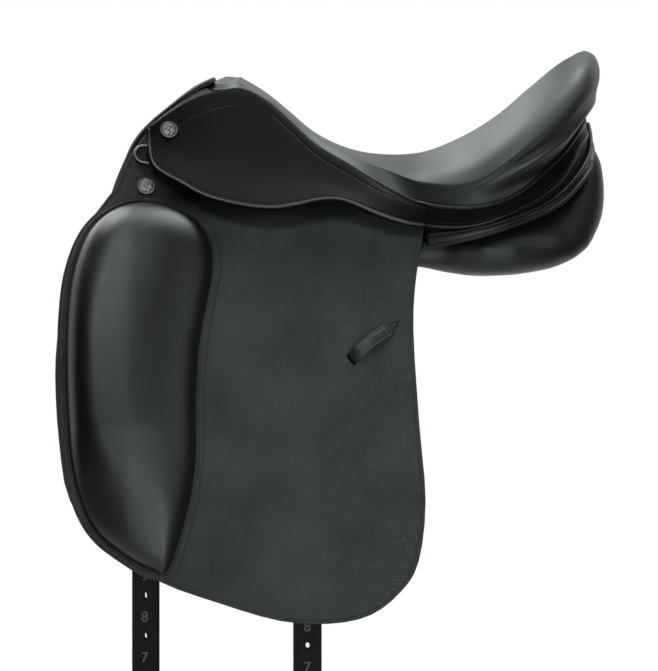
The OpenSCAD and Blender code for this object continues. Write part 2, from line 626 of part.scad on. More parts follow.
// Studs: a domed head on a rim
module stud() color(steel)
    rotate_extrude() polygon(concat([[0, 0], [stud_d / 2, 0], [stud_d / 2, stud_h * 0.45]],
                                    [for (a = [0:15:90]) [stud_d / 2 * 0.8 * cos(a),
                                        stud_h * (0.45 + 0.55 * sin(a))]]));
stud_fit = 0.6;
skirt_stud_place = [168, 144.5];
point_stud_place = [191.5, 85.6];
// Point on the outer face of the skirt's upper part, a share t of the way down
function skirt_face(x, t) = mix(skirt_top_edge(x), skirt_fold_edge(x, 0), t) + [0, skirt_across, 0];
module skirt_stud() {
    x = skirt_stud_place[0];
    e = skirt_top_edge(x)[2];
    t = (e - skirt_stud_place[1]) / (e - skirt_fold(x)[2]);
    n = cross(skirt_face(x + 6, t) - skirt_face(x - 6, t), skirt_face(x, t) - skirt_face(x, t + 0.1));
    turn = -n / norm(n);
    translate(skirt_face(x, t)) rotate([0, acos(turn[2]), atan2(turn[1], turn[0])]) translate([0, 0,
        stud_fit]) stud();
}
module point_stud() at_side(point_stud_place[0], point_stud_place[1], flap_r + fit) stud();

// Dee ring: a straight bar in a leather tab under the nose of the skirt, and a round bow
dee_x = 188;
dee_z = 118;
dee_lift = flap_r + fit + dee_wire / 2;
module dee_ring() color(steel)
    at_side(dee_x, dee_z, dee_lift) {
        rotate([-90, 0, 0]) cylinder(d = dee_wire, h = dee_bar - dee_wire, center = true);
        for (s = [-1, 1]) translate([0, s * (dee_bar - dee_wire) / 2, 0]) {
            sphere(d = dee_wire);
            rotate([0, 90, 0]) cylinder(d = dee_wire, h = dee_depth - dee_bar / 2);
        }
        translate([dee_depth - dee_bar / 2, 0, 0]) rotate([0, 0, -90]) rotate_extrude(angle = 180)
            translate([(dee_bar - dee_wire) / 2, 0]) circle(d = dee_wire);
    }
dee_tab_t = 1.5;
dee_tab_w = 14;
module dee_tab() color(leather)
    at_side(dee_x, dee_z, dee_lift) difference() {
        union() {
            rotate([-90, 0, 0]) cylinder(d = dee_wire + 2 * dee_tab_t, h = dee_tab_w, center = true);
            translate([-16, -dee_tab_w / 2, -dee_wire / 2]) cube([16, dee_tab_w, dee_tab_t * 2]);
        }
        rotate([-90, 0, 0]) cylinder(d = dee_wire + 2 * running, h = dee_tab_w + 2, center = true);
        translate([-30, -dee_tab_w, -dee_wire / 2 - 10]) cube([60, 2 * dee_tab_w, 10]);
    }

// Stirrup bar: a base plate riveted to the tree head, a neck in front and a bar open to the rear
bar_x = 50;
bar_z = 72;
base_w = 20;
base_back = 4;
base_front = 20;
base_t = 3.6;
neck_l = 12;
bar_low = flap_r + bar_gap;
base_low = head_out + fit;
lap_r = bar_w / 2;
lap_gap = 0.6;
lap_end = 0.8;
bar_rivet_places = [6, 27, 48];
module at_bar() at_side(bar_x, bar_z, 0) children();
module bar_rivet_bores()
    at_bar() for (x = bar_rivet_places) translate([x, 0, head_in - 10]) cylinder(r = rivet_r + running,
        h = 40);
module stirrup_bar() color(steel)
    at_bar() difference() {
        union() {
            translate([-base_back, -base_w / 2, base_low]) cube([bar_l + base_back + base_front, base_w,
                base_t]);
            translate([bar_l + base_front - neck_l, -bar_w / 2, base_low]) cube([neck_l, bar_w,
                bar_low + bar_t - base_low]);
            translate([0, -bar_w / 2, bar_low]) cube([bar_l + base_front - neck_l + 1, bar_w, bar_t]);
            translate([0, 0, bar_low]) cylinder(r = lap_r, h = bar_t);
        }
        translate([-2 * lap_r, -lap_r - 1, bar_low + bar_t / 2 - lap_gap / 4])
            cube([3 * lap_r + lap_end, bar_w + 2, bar_t]);
        translate([0, 0, bar_low - 1]) cylinder(r = catch_pin_r + running / 2, h = bar_t + 2);
        for (x = bar_rivet_places) translate([x, 0, base_low - 1]) cylinder(r = rivet_r + running,
            h = base_t + 2);
    }
module bar_rivets() color(steel)
    at_bar() for (x = bar_rivet_places) translate([x, 0, 0]) {
        translate([0, 0, head_in - fit]) cylinder(r = rivet_r, h = base_low + base_t + fit - head_in + 0.1);
        translate([0, 0, base_low + base_t + 0.1]) cylinder(r = rivet_head_r, h = rivet_head_h);
    }
module catch_pin() color(steel) at_bar() translate([0, 0, bar_low]) cylinder(r = catch_pin_r, h = bar_t);
module bar_catch() color(steel)
    at_bar() difference() {
        union() {
            translate([0, 0, bar_low + bar_t / 2 + lap_gap / 4]) cylinder(r = lap_r,
                h = bar_t / 2 - lap_gap / 4);
            translate([-catch_l, -lap_r, bar_low]) cube([catch_l, bar_w, bar_t]);
            translate([-catch_l, 0, bar_low]) cylinder(r = lap_r, h = bar_t);
        }
        translate([-lap_r - lap_end, -lap_r - 1, bar_low - 1]) cube([3 * lap_r + lap_end, bar_w + 2,
            bar_t / 2 + lap_gap / 4 + 1]);
        translate([0, 0, bar_low - 1]) cylinder(r = catch_pin_r + running, h = bar_t + 2);
    }

// Billets: straps between the flap and the sweat flap that hang straight down below them
front_billet_x = 192.5;
rear_billet_x = 24.4;
function billet_profile(r) = concat(
    [for (a = [32:-2:0]) [r * cos(a) - side_y, side_z + r * sin(a)]],
        [[r - side_y - 2.2, side_z - 70], [r - side_y - 2.2, -2 * far]]);
module slot(x, z) {
    translate([x, z + (hole_l - hole_w) / 2]) circle(d = hole_w);
    translate([x, z - (hole_l - hole_w) / 2]) circle(d = hole_w);
    translate([x - hole_w / 2, z - (hole_l - hole_w) / 2]) square([hole_w, hole_l - hole_w]);
}
module billet(x, pivot_z, wide, hole_z) color(leather) {
    tip = hole_z - (billet_holes - 1) * hole_pitch - 26;
    difference() {
        intersection() {
            rotate([0, -side_pitch, 0]) rotate([90, 0, 90]) translate([0, 0, -far / 2])
                linear_extrude(far) polygon(concat(billet_profile(billet_out),
                    reversed(billet_profile(billet_in))));
            translate([0, far / 2, 0]) rotate([90, 0, 0]) linear_extrude(far / 2)
                polygon(concat([for (a = [180:-10:0]) [x + wide / 2 * cos(a), pivot_z + wide / 2 * sin(a)]],
                               [[x + wide / 2, tip + 10], [x + wide / 4, tip], [x - wide / 4, tip],
                                   [x - wide / 2, tip + 10]]));
        }
        translate([0, far / 2, 0]) rotate([90, 0, 0]) linear_extrude(far / 2)
            for (i = [0:billet_holes - 1]) slot(x, hole_z - i * hole_pitch);
    }
}
front_pivot_z = point_z - front_billet_w / 2 - 2 * fit;
rear_pivot_z = wing_z - rear_billet_w / 2 - 3 * fit;
module front_billet() billet(front_billet_x, front_pivot_z, front_billet_w, front_hole_z);
module rear_billet() billet(rear_billet_x, rear_pivot_z, rear_billet_w, rear_hole_z);

tree_rails();
tree_head();
gullet_plate();
tree_rivets();
seat_web();
seat();
cantle_band();
panel_facing();
pommel_facing();
gullet_lining();
panel();  // panel_left
opposite() panel();  // panel_right
point_pocket();  // point_pocket_left
opposite() point_pocket();  // point_pocket_right
flap_top();  // flap_top_left
opposite() flap_top();  // flap_top_right
flap();  // flap_left
opposite() flap();  // flap_right
thigh_block();  // thigh_block_left
opposite() thigh_block();  // thigh_block_right
keeper();  // keeper_left
opposite() keeper();  // keeper_right
sweat_flap();  // sweat_flap_left
opposite() sweat_flap();  // sweat_flap_right
skirt_top();  // skirt_top_left
opposite() skirt_top();  // skirt_top_right
skirt();  // skirt_left
opposite() skirt();  // skirt_right
skirt_stud();  // skirt_stud_left
opposite() skirt_stud();  // skirt_stud_right
point_stud();  // point_stud_left
opposite() point_stud();  // point_stud_right
dee_ring();  // dee_ring_left
opposite() dee_ring();  // dee_ring_right
dee_tab();  // dee_tab_left
opposite() dee_tab();  // dee_tab_right
stirrup_bar();  // stirrup_bar_left
opposite() stirrup_bar();  // stirrup_bar_right
bar_rivets();  // bar_rivets_left
opposite() bar_rivets();  // bar_rivets_right
catch_pin();  // catch_pin_left
opposite() catch_pin();  // catch_pin_right
bar_catch();  // bar_catch_left
opposite() bar_catch();  // bar_catch_right
front_billet();  // front_billet_left
opposite() front_billet();  // front_billet_right
rear_billet();  // rear_billet_left
opposite() rear_billet();  // rear_billet_right
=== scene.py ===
"""Looks of a black dressage saddle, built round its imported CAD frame."""
import math

import bmesh
import bpy
import numpy as np
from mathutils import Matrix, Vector, geometry
from mathutils.bvhtree import BVHTree


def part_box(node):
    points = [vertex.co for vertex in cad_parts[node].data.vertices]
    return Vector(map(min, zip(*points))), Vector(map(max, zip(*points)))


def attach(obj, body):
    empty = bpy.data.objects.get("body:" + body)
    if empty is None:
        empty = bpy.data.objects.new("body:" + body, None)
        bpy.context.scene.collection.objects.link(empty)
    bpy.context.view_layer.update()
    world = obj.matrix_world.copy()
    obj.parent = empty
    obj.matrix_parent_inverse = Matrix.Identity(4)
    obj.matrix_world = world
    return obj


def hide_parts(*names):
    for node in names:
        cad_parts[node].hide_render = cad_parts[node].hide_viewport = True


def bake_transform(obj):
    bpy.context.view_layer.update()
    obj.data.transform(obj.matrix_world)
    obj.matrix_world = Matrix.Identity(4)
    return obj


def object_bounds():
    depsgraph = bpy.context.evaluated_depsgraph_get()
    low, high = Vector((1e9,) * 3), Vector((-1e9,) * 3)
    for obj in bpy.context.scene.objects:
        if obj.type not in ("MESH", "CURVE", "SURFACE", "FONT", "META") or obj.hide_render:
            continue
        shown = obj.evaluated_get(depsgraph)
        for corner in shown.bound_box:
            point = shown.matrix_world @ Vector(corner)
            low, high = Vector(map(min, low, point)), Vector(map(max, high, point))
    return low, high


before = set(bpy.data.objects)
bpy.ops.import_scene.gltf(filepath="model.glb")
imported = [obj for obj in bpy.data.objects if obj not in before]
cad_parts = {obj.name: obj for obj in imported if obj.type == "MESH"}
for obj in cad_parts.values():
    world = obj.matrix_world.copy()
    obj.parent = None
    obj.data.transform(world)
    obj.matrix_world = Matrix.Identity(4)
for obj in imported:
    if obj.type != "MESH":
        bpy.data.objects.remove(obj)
cad_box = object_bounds()

# Sizes are in millimetres in the CAD model's frame: X forwards, Y to the left, Z up
MM = 0.001
SIDES = {"left": 1, "right": -1}

# The side of the saddle is wrapped round one cylinder on each side, as in the CAD model
SIDE_PITCH = math.radians(5.46)
SIDE_COS, SIDE_SIN = math.cos(SIDE_PITCH), math.sin(SIDE_PITCH)
SIDE_Y, SIDE_Z, FLAP_R = 604, -310, 820
FLAP_T, SWEAT_T, SWEAT_UNDER = 5, 4, 10.2
SWEAT_OUT = FLAP_R - SWEAT_UNDER
FOLD_Z = 54

# Photograph: pixels to the side view, and the picture's size
PX_MM = 1.04
PX_X0, PX_Y0 = 331, 270
PHOTO_W, PHOTO_H = 658, 671


def photo_xz(points):
    """Side-view x and z of pixels of the photograph."""
    p = np.asarray(points, float)
    return np.stack([(PX_X0 - p[:, 0]) * PX_MM, (PX_Y0 - p[:, 1]) * PX_MM], 1)


# Curves

def catmull(a, b, c, d, t):
    """Points between b and c, at shares t of the way, of a smooth line through four points."""
    bend, twist = 2 * a - 5 * b + 4 * c - d, 3 * b - a - 3 * c + d
    return 0.5 * (2 * b + (c - a) * t + bend * t ** 2 + twist * t ** 3)


def spline(points, steps, before=None):
    """Smooth line through points with that many steps to a span."""
    p = np.asarray(points, float)
    first = 2 * p[0] - p[1] if before is None else np.asarray(before, float)
    p = np.vstack([first, p, 2 * p[-1] - p[-2]])
    t = np.linspace(0, 1, steps, endpoint=False)[:, None]
    spans = [catmull(p[i], p[i + 1], p[i + 2], p[i + 3], t) for i in range(len(p) - 3)]
    return np.vstack(spans + [p[-2:-1]])


def distances(line):
    """Distance along a line to each of its points."""
    return np.concatenate([[0], np.cumsum(np.linalg.norm(np.diff(line, axis=0), axis=1))])


def sampled(line, d, at):
    """Points of a line, whose own points lie at d along it, at other places along it."""
    return np.stack([np.interp(at, d, k) for k in line.T], 1)


def even(line, step):
    """The same line with its points about one step apart."""
    line = np.asarray(line, float)
    d = distances(line)
    return sampled(line, d, np.linspace(0, d[-1], max(2, int(round(d[-1] / step))) + 1))


CURVE_STEPS = 12


def smooth_loop(points, step):
    """Smooth closed line through points, with its own points about one step apart."""
    p = np.asarray(points, float)
    n = len(p)
    wrapped = p[np.arange(-2, n + 3) % n]
    line = spline(wrapped, CURVE_STEPS)[2 * CURVE_STEPS:(n + 2) * CURVE_STEPS + 1]
    return even(line, step)[:-1]


def curve_at(rows, x):
    """Values at x of a smooth curve through rows of x and values, as in the CAD model."""
    xs = np.array([r[0] for r in rows], float)
    v = np.array([r[1] for r in rows], float).reshape(len(rows), -1)
    last = len(rows) - 1
    j, k = np.maximum(np.arange(last + 1) - 1, 0), np.minimum(np.arange(last + 1) + 1, last)
    slope = (v[k] - v[j]) / (xs[k] - xs[j])[:, None]
    x = np.atleast_1d(np.asarray(x, float))
    i = np.clip(np.searchsorted(xs, x) - 1, 0, last - 1)
    h = (xs[i + 1] - xs[i])[:, None]
    t = ((x - xs[i]) / h[:, 0])[:, None]
    return ((2 * t ** 3 - 3 * t ** 2 + 1) * v[i] + (t ** 3 - 2 * t ** 2 + t) * h * slope[i]
            + (3 * t ** 2 - 2 * t ** 3) * v[i + 1] + (t ** 3 - t ** 2) * h * slope[i + 1])


def unit(v):
    return v / np.maximum(np.linalg.norm(v, axis=-1, keepdims=True), 1e-9)


def bell(d, width):
    return np.exp(-(d / width) ** 2)


def turns(n):
    """Angles of n points round a circle."""
    return np.linspace(0, 2 * math.pi, n, endpoint=False)


# Side surface

def side_angle(xz):
    return np.arcsin((xz[..., 1] * SIDE_COS - xz[..., 0] * SIDE_SIN - SIDE_Z) / FLAP_R)


def side_point(xz, height):
    """Points that stand at a height over the flap's face on side-view points."""
    xz = np.asarray(xz, float)
    angle = side_angle(xz)
    along = xz[..., 0] * SIDE_COS + xz[..., 1] * SIDE_SIN
    r = FLAP_R + height
    w = SIDE_Z + r * np.sin(angle)
    return np.stack([along * SIDE_COS - w * SIDE_SIN, r * np.cos(angle) - SIDE_Y,
                     along * SIDE_SIN + w * SIDE_COS], -1)


def side_normal(xz):
    angle = side_angle(np.asarray(xz, float))
    return np.stack([-np.sin(angle) * SIDE_SIN, np.cos(angle), np.sin(angle) * SIDE_COS], -1)


def side_y(xz, r=FLAP_R):
    """Distance from the mid plane of the side cylinder's face at side-view points."""
    w = xz[..., 1] * SIDE_COS - xz[..., 0] * SIDE_SIN - SIDE_Z
    return np.sqrt(r ** 2 - w ** 2) - SIDE_Y


def rim(node, r):
    """Outline of a CAD sheet's face on the side cylinder of radius r, as side-view points on the flap."""
    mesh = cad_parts[node].data
    co = np.array([v.co for v in mesh.vertices]) / MM
    w = co[:, 2] * SIDE_COS - co[:, 0] * SIDE_SIN - SIDE_Z
    along = co[:, 0] * SIDE_COS + co[:, 2] * SIDE_SIN
    radius = np.hypot(co[:, 1] + SIDE_Y, w)
    on_face = np.abs(radius - r) < 0.3
    flap_w = SIDE_Z + FLAP_R * w / radius
    flat = np.stack([along * SIDE_COS - flap_w * SIDE_SIN, along * SIDE_SIN + flap_w * SIDE_COS], 1)
    key = {}
    ids = [key.setdefault(tuple(np.round(c, 2)), len(key)) for c in co]
    place = {i: p for i, p in zip(ids, flat)}
    count = {}
    for f in mesh.polygons:
        if all(on_face[i] for i in f.vertices):
            v = [ids[i] for i in f.vertices]
            for a, b in zip(v, v[1:] + v[:1]):
                count[frozenset((a, b))] = count.get(frozenset((a, b)), 0) + 1
    link = {}
    for e, n in count.items():
        if n == 1 and len(e) == 2:
            a, b = e
            link.setdefault(a, []).append(b)
            link.setdefault(b, []).append(a)
    loops = []
    while link:
        start = next(iter(link))
        loop, at = [start], start
        while link.get(at):
            nxt = link[at].pop()
            link[nxt].remove(at)
            loop.append(nxt)
            at = nxt
        link = {k: v for k, v in link.items() if v}
        loops.append(loop[:-1])
    return np.array([place[i] for i in max(loops, key=len)])


def counterclockwise(loop):
    x, z = loop[:, 0], loop[:, 1]
    area = np.sum(x * np.roll(z, -1) - np.roll(x, -1) * z)
    return loop if area > 0 else loop[::-1]


def inward(loop):
    """Inward normals of a counterclockwise loop."""
    t = unit(np.roll(loop, -1, 0) - np.roll(loop, 1, 0))
    return np.stack([-t[:, 1], t[:, 0]], 1)


def inside(points, loop):
    """Which points lie inside a loop."""
    a, b = loop, np.roll(loop, -1, 0)
    x, z = points[:, 0][:, None], points[:, 1][:, None]
    crosses = (a[:, 1] > z) != (b[:, 1] > z)
    at = (b[:, 0] - a[:, 0]) * (z - a[:, 1]) / np.where(b[:, 1] == a[:, 1], 1e-9, b[:, 1] - a[:, 1]) + a[:, 0]
    return (np.sum(crosses & (x < at), 1) % 2) == 1


# Distance between rows of a staggered grid, and how far it keeps from an outline, as shares of its spacing
STAGGER, CLEARANCE = 0.866, 0.62


def grid_inside(loop, spacing):
    """Points of a staggered grid inside a loop, clear of its edge."""
    lo, hi = loop.min(0), loop.max(0)
    rows = np.arange(lo[1], hi[1], spacing * STAGGER)
    cols = np.arange(lo[0], hi[0], spacing)
    p = np.array([[x + (k % 2) * spacing / 2, z] for k, z in enumerate(rows) for x in cols])
    p = p[inside(p, loop)]
    clear = np.array([np.min(np.sum((loop - q) ** 2, 1)) for q in p]) > (CLEARANCE * spacing) ** 2
    return p[clear]


def filled(loop, spacing):
    """Points and triangles that fill a loop. The loop's own points come first."""
    p = np.vstack([loop, grid_inside(loop, spacing)])
    n = len(loop)
    edges = [(i, (i + 1) % n) for i in range(n)]
    made = geometry.delaunay_2d_cdt([Vector(q) for q in p], edges, [], 1, 1e-5)
    source = [o[0] if o else -1 for o in made[3]]
    faces = [tuple(source[i] for i in f) for f in made[2]]
    return p, [f for f in faces if min(f) >= 0]


# Meshes

def loft(rings, ring_closed=True, chain_closed=False):
    """Points and quads through rings of equal length."""
    rings = np.asarray(rings, float)
    m, n = rings.shape[:2]
    faces = [(i * n + j, i * n + (j + 1) % n, (i + 1) % m * n + (j + 1) % n, (i + 1) % m * n + j)
             for i in range(m if chain_closed else m - 1) for j in range(n if ring_closed else n - 1)]
    return rings.reshape(-1, 3), faces


def zipped(base, n):
    """Faces that close a ring whose point j faces point -j."""
    faces = [(base + j, base + j + 1, base + n - j - 1, base + (n - j) % n) for j in range(n // 2)]
    return [tuple(dict.fromkeys(f)) for f in faces]


def joined(*parts):
    """One mesh of several, each given as points and faces."""
    points, faces, base = [], [], 0
    for p, f in parts:
        points.append(p)
        faces += [tuple(base + i for i in face) for face in f]
        base += len(p)
    return np.vstack(points), faces


def capped(rings):
    """Points and faces of a bar through rings, closed at both ends."""
    points, faces = loft(rings)
    k = len(rings[0])
    return points, faces + [tuple(range(k)), tuple(range(len(points) - k, len(points)))]


def place(name, data):
    """A new object in the scene."""
    obj = bpy.data.objects.new(name, data)
    bpy.context.scene.collection.objects.link(obj)
    return obj


def make(name, shape, material, side=1):
    """A smooth object of points in millimetres and faces, mirrored to the right where side is -1."""
    points, faces = shape
    mesh = bpy.data.meshes.new(name)
    mesh.from_pydata((np.asarray(points, float) * (MM, MM * side, MM)).tolist(), [], faces)
    bm = bmesh.new()
    bm.from_mesh(mesh)
    bmesh.ops.remove_doubles(bm, verts=bm.verts, dist=1e-6)
    bmesh.ops.recalc_face_normals(bm, faces=bm.faces)
    bm.to_mesh(mesh)
    bm.free()
    mesh.polygons.foreach_set("use_smooth", [True] * len(mesh.polygons))
    mesh.materials.append(material)
    return place(name, mesh)


def add(name, shape, material, body="saddle", replaces=(), side=1):
    """A piece that rides on one body."""
    obj = make(name, shape, material, side)
    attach(obj, body)
    if replaces:
        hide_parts(*replaces)
    return obj


def add_pair(name, shape, material, body="saddle", replaces=()):
    """A piece on the left and its mirror image on the right. Braces in the names stand for the side."""
    return [add(f"{name}_{s}", shape, material, body.format(s), [r.format(s) for r in replaces], k)
            for s, k in SIDES.items()]


def add_bending(name, shape, material, slot, body, start, end, replaces=()):
    """A pair of pieces, the left one and its mirror image on the right, which hide the CAD nodes they replace
    and stay where they are made. Its slot, body, start and end are not used.
    """
    for s, k in SIDES.items():
        obj = make(f"{name}_{s}", shape, material, k)
        if replaces:
            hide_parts(*[r.format(s) for r in replaces])
        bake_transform(obj)


# Domed end of a cord: how far out its last ring lies and how wide it is, as shares of the cord's radius
DOME_OUT, DOME_R = 0.7, 0.5


def tube(path, radius, up=(0, 0, 1), sides=10):
    """Round cord along a path, with domed ends."""
    t = unit(np.gradient(path, axis=0))
    up = np.broadcast_to(np.asarray(up, float), path.shape)
    n = unit(up - np.sum(up * t, 1, keepdims=True) * t)
    s = np.cross(t, n)
    a = turns(sides)
    circle = np.cos(a)[:, None, None] * n + np.sin(a)[:, None, None] * s
    rings = [path[0] - t[0] * radius * DOME_OUT + circle[:, 0] * radius * DOME_R]
    rings += [path[i] + circle[:, i] * radius for i in range(len(path))]
    rings += [path[-1] + t[-1] * radius * DOME_OUT + circle[:, -1] * radius * DOME_R]
    return capped(rings)


PIPING_STEP = 3.5


def piping(line, radius, up=(0, 0, 1)):
    return tube(even(line, PIPING_STEP), radius, up)


# A stitch from end to end: places as shares of its length, radii and heights as shares of its width
STITCH_ALONG = np.array([-0.5, -0.38, 0, 0.38, 0.5])
STITCH_THICK = np.array([0.25, 0.8, 1, 0.8, 0.25])
STITCH_LIFT = np.array([-0.28, 0.05, 0.16, 0.05, -0.28])
STITCH_SIDES, STITCH_SLANT, STITCH_SINK = 6, math.radians(12), 0.12


def stitches(path, normals, pitch=4.4, length=3.2, width=1.0):
    """A row of sewn stitches along a path on a surface."""
    d = distances(path)
    at = np.arange(pitch / 2, d[-1], pitch)
    c, n = sampled(path, d, at), sampled(normals, d, at)
    t = unit(sampled(np.gradient(path, axis=0), d, at))
    n = unit(n - np.sum(n * t, 1, keepdims=True) * t)
    s = np.cross(t, n)
    cos, sin = math.cos(STITCH_SLANT), math.sin(STITCH_SLANT)
    t, s = t * cos + s * sin, s * cos - t * sin
    profile = zip(STITCH_ALONG * length, STITCH_THICK * width / 2, STITCH_LIFT * width - STITCH_SINK)
    rings = np.array([[[x, r * math.cos(q), r * math.sin(q) + h] for q in turns(STITCH_SIDES)]
                      for x, r, h in profile])
    one, one_faces = capped(rings)
    x, y, z = (one[None, :, k:k + 1] for k in range(3))
    points = c[:, None] + x * t[:, None] + y * s[:, None] + z * n[:, None]
    faces = [tuple(len(one) * i + k for k in f) for i in range(len(c)) for f in one_faces]
    return points.reshape(-1, 3), faces


def grid_normals(grid, outward):
    n = unit(np.cross(np.gradient(grid, axis=0), np.gradient(grid, axis=1)))
    flip = np.sign(np.sum(n * np.asarray(outward, float), -1, keepdims=True).mean())
    return n * flip


def slab(grid, outward, thick, steps=4, flat_ends=False):
    """Leather of a thickness behind a grid of points, with round edges, or with its two ends cut flat."""
    n = grid_normals(grid, outward)
    rows, cols = grid.shape[:2]
    front, front_faces = loft(grid, ring_closed=False)
    back, back_faces = loft(grid - n * thick, ring_closed=False)
    loop = ([(0, j) for j in range(cols)] + [(i, cols - 1) for i in range(1, rows)]
            + [(rows - 1, j) for j in range(cols - 2, -1, -1)] + [(i, 0) for i in range(rows - 2, 0, -1)])
    edge = np.array([grid[p] for p in loop])
    normal = np.array([n[p] for p in loop])
    along = unit(np.roll(edge, -1, 0) - np.roll(edge, 1, 0))
    out = np.cross(along, normal)
    out *= np.sign(np.sum(out * (edge - grid.reshape(-1, 3).mean(0)), 1).mean())
    if flat_ends:
        out[[j in (0, cols - 1) for _, j in loop]] = 0
    rounds = []
    for k in range(steps + 1):
        a = math.pi * k / steps
        rounds.append(edge + out * (thick / 2 * math.sin(a)) - normal * (thick / 2 * (1 - math.cos(a))))
    return joined((front, front_faces), (back, back_faces), loft(rounds))


GROOVE_HALF, GROOVE_DEEP = 1.2, 0.6


def cut_sheet(outline, back, front, groove=4.0, spacing=10.0, edge=1.6):
    """Leather cut to a side-view outline, between two heights over the flap, with round edges and a groove."""
    loop = counterclockwise(outline)
    n = inward(loop)
    rings = [(edge, back), (0.3 * edge, back + 0.3 * edge), (0, back + edge), (0, front - edge),
             (0.3 * edge, front - 0.3 * edge), (edge, front), (groove - GROOVE_HALF, front),
             (groove, front - GROOVE_DEEP), (groove + GROOVE_HALF, front)]
    shapes = [side_point(loop + n * d, h) for d, h in rings]
    wall = loft(shapes)
    top, top_faces = filled(loop + n * rings[-1][0], spacing)
    low, low_faces = filled(loop + n * rings[0][0], spacing * 1.5)
    return joined(wall, (side_point(top, front), top_faces), (side_point(low, back), low_faces))


def raised_band(loop, profile):
    """A sewn band round a side-view loop, with a profile of distances across and heights over the flap."""
    n = inward(loop)
    return loft(np.stack([side_point(loop + n * u, h) for u, h in profile], 1), chain_closed=True)


def side_row(line, height):
    """Points and normals of a side-view line at a height over the flap."""
    return side_point(line, height), side_normal(line)


# Rays start this far out, in metres
RAY_FROM = 0.4


def on_surface(tree, xz):
    """Points and normals where lines across the saddle meet a surface from the left, at side-view points."""
    hits = [tree.ray_cast(Vector((x * MM, RAY_FROM, z * MM)), Vector((0, -1, 0))) for x, z in xz]
    return np.array([h[0] for h in hits]) / MM, np.array([h[1] for h in hits])


# Materials

class Graph:
    """A node tree, with short ways to add the nodes that the looks use."""

    def __init__(self, tree):
        self.nodes, self.links = tree.nodes, tree.links

    def put(self, socket, value):
        """Gives an input a value, or a link where the value is another node's output."""
        if isinstance(value, bpy.types.NodeSocket):
            self.links.new(value, socket)
        else:
            socket.default_value = value

    def node(self, kind, inputs=None, **settings):
        """Outputs of a new shader node. Its inputs are given by name or by place."""
        node = self.nodes.new("ShaderNode" + kind)
        for key, value in settings.items():
            setattr(node, key, value)
        for key, value in (inputs or {}).items():
            self.put(node.inputs[key], value)
        return node.outputs

    def noise(self, vector, scale, detail):
        inputs = {"Vector": vector, "Scale": scale, "Detail": detail, "Roughness": 0.55}
        return self.node("TexNoise", inputs)["Fac"]

    def wave(self, vector, scale, distortion, direction):
        inputs = {"Vector": vector, "Scale": scale, "Distortion": distortion}
        return self.node("TexWave", inputs, bands_direction=direction)["Fac"]

    def spread(self, value, low, high, start=0.3, stop=0.7):
        """Maps a value from start and stop to low and high."""
        inputs = {"Value": value, "From Min": start, "From Max": stop, "To Min": low, "To Max": high}
        return self.node("MapRange", inputs)["Result"]

    def maths(self, operation, a, b):
        return self.node("Math", {0: a, 1: b}, operation=operation)["Value"]

    def tint(self, factor, dark, light):
        """A mix of two colours, each given as three numbers or as another node's output."""
        a, b = (c if isinstance(c, bpy.types.NodeSocket) else (*c, 1) for c in (dark, light))
        return self.node("Mix", {"Factor": factor, 6: a, 7: b}, data_type="RGBA")[2]

    def bump(self, height, strength, distance):
        return self.node("Bump", {"Height": height, "Strength": strength, "Distance": distance})["Normal"]

    def surface(self, **inputs):
        """Sets inputs of the material's own shader, with underscores for the spaces in their names."""
        shader = self.nodes["Principled BSDF"]
        for key, value in inputs.items():
            self.put(shader.inputs[key.replace("_", " ")], value)


def new_material(name):
    """A material, its node graph and the output that places its points."""
    mat = bpy.data.materials.new(name)
    mat.use_nodes = True
    g = Graph(mat.node_tree)
    return mat, g, g.node("TexCoord")["Object"]


# Painted shadow of the skirt on the flap's leather: its tone, how far the ear in front has it, and between
# which places it changes
SKIRT_SHADOW_TONE, EAR_SHADOW_SHARE, EAR_FROM = 0.12, 0.55, (0.15, 0.185)
COOL_SHINE = (0.92, 1.0, 1.0, 1.0)
# Grain: how far its cells are warped, how wide the valleys between them are, the pores' share of its height and
# its depth in metres. Then the scale of patches in the tone and of the traces of handling in the gloss.
GRAIN_WARP, GRAIN_VALLEY, PORE_SHARE, GRAIN_DEEP = 0.0006, 0.22, 0.5, 0.0004
PATCHES, HANDLING = 14, 38


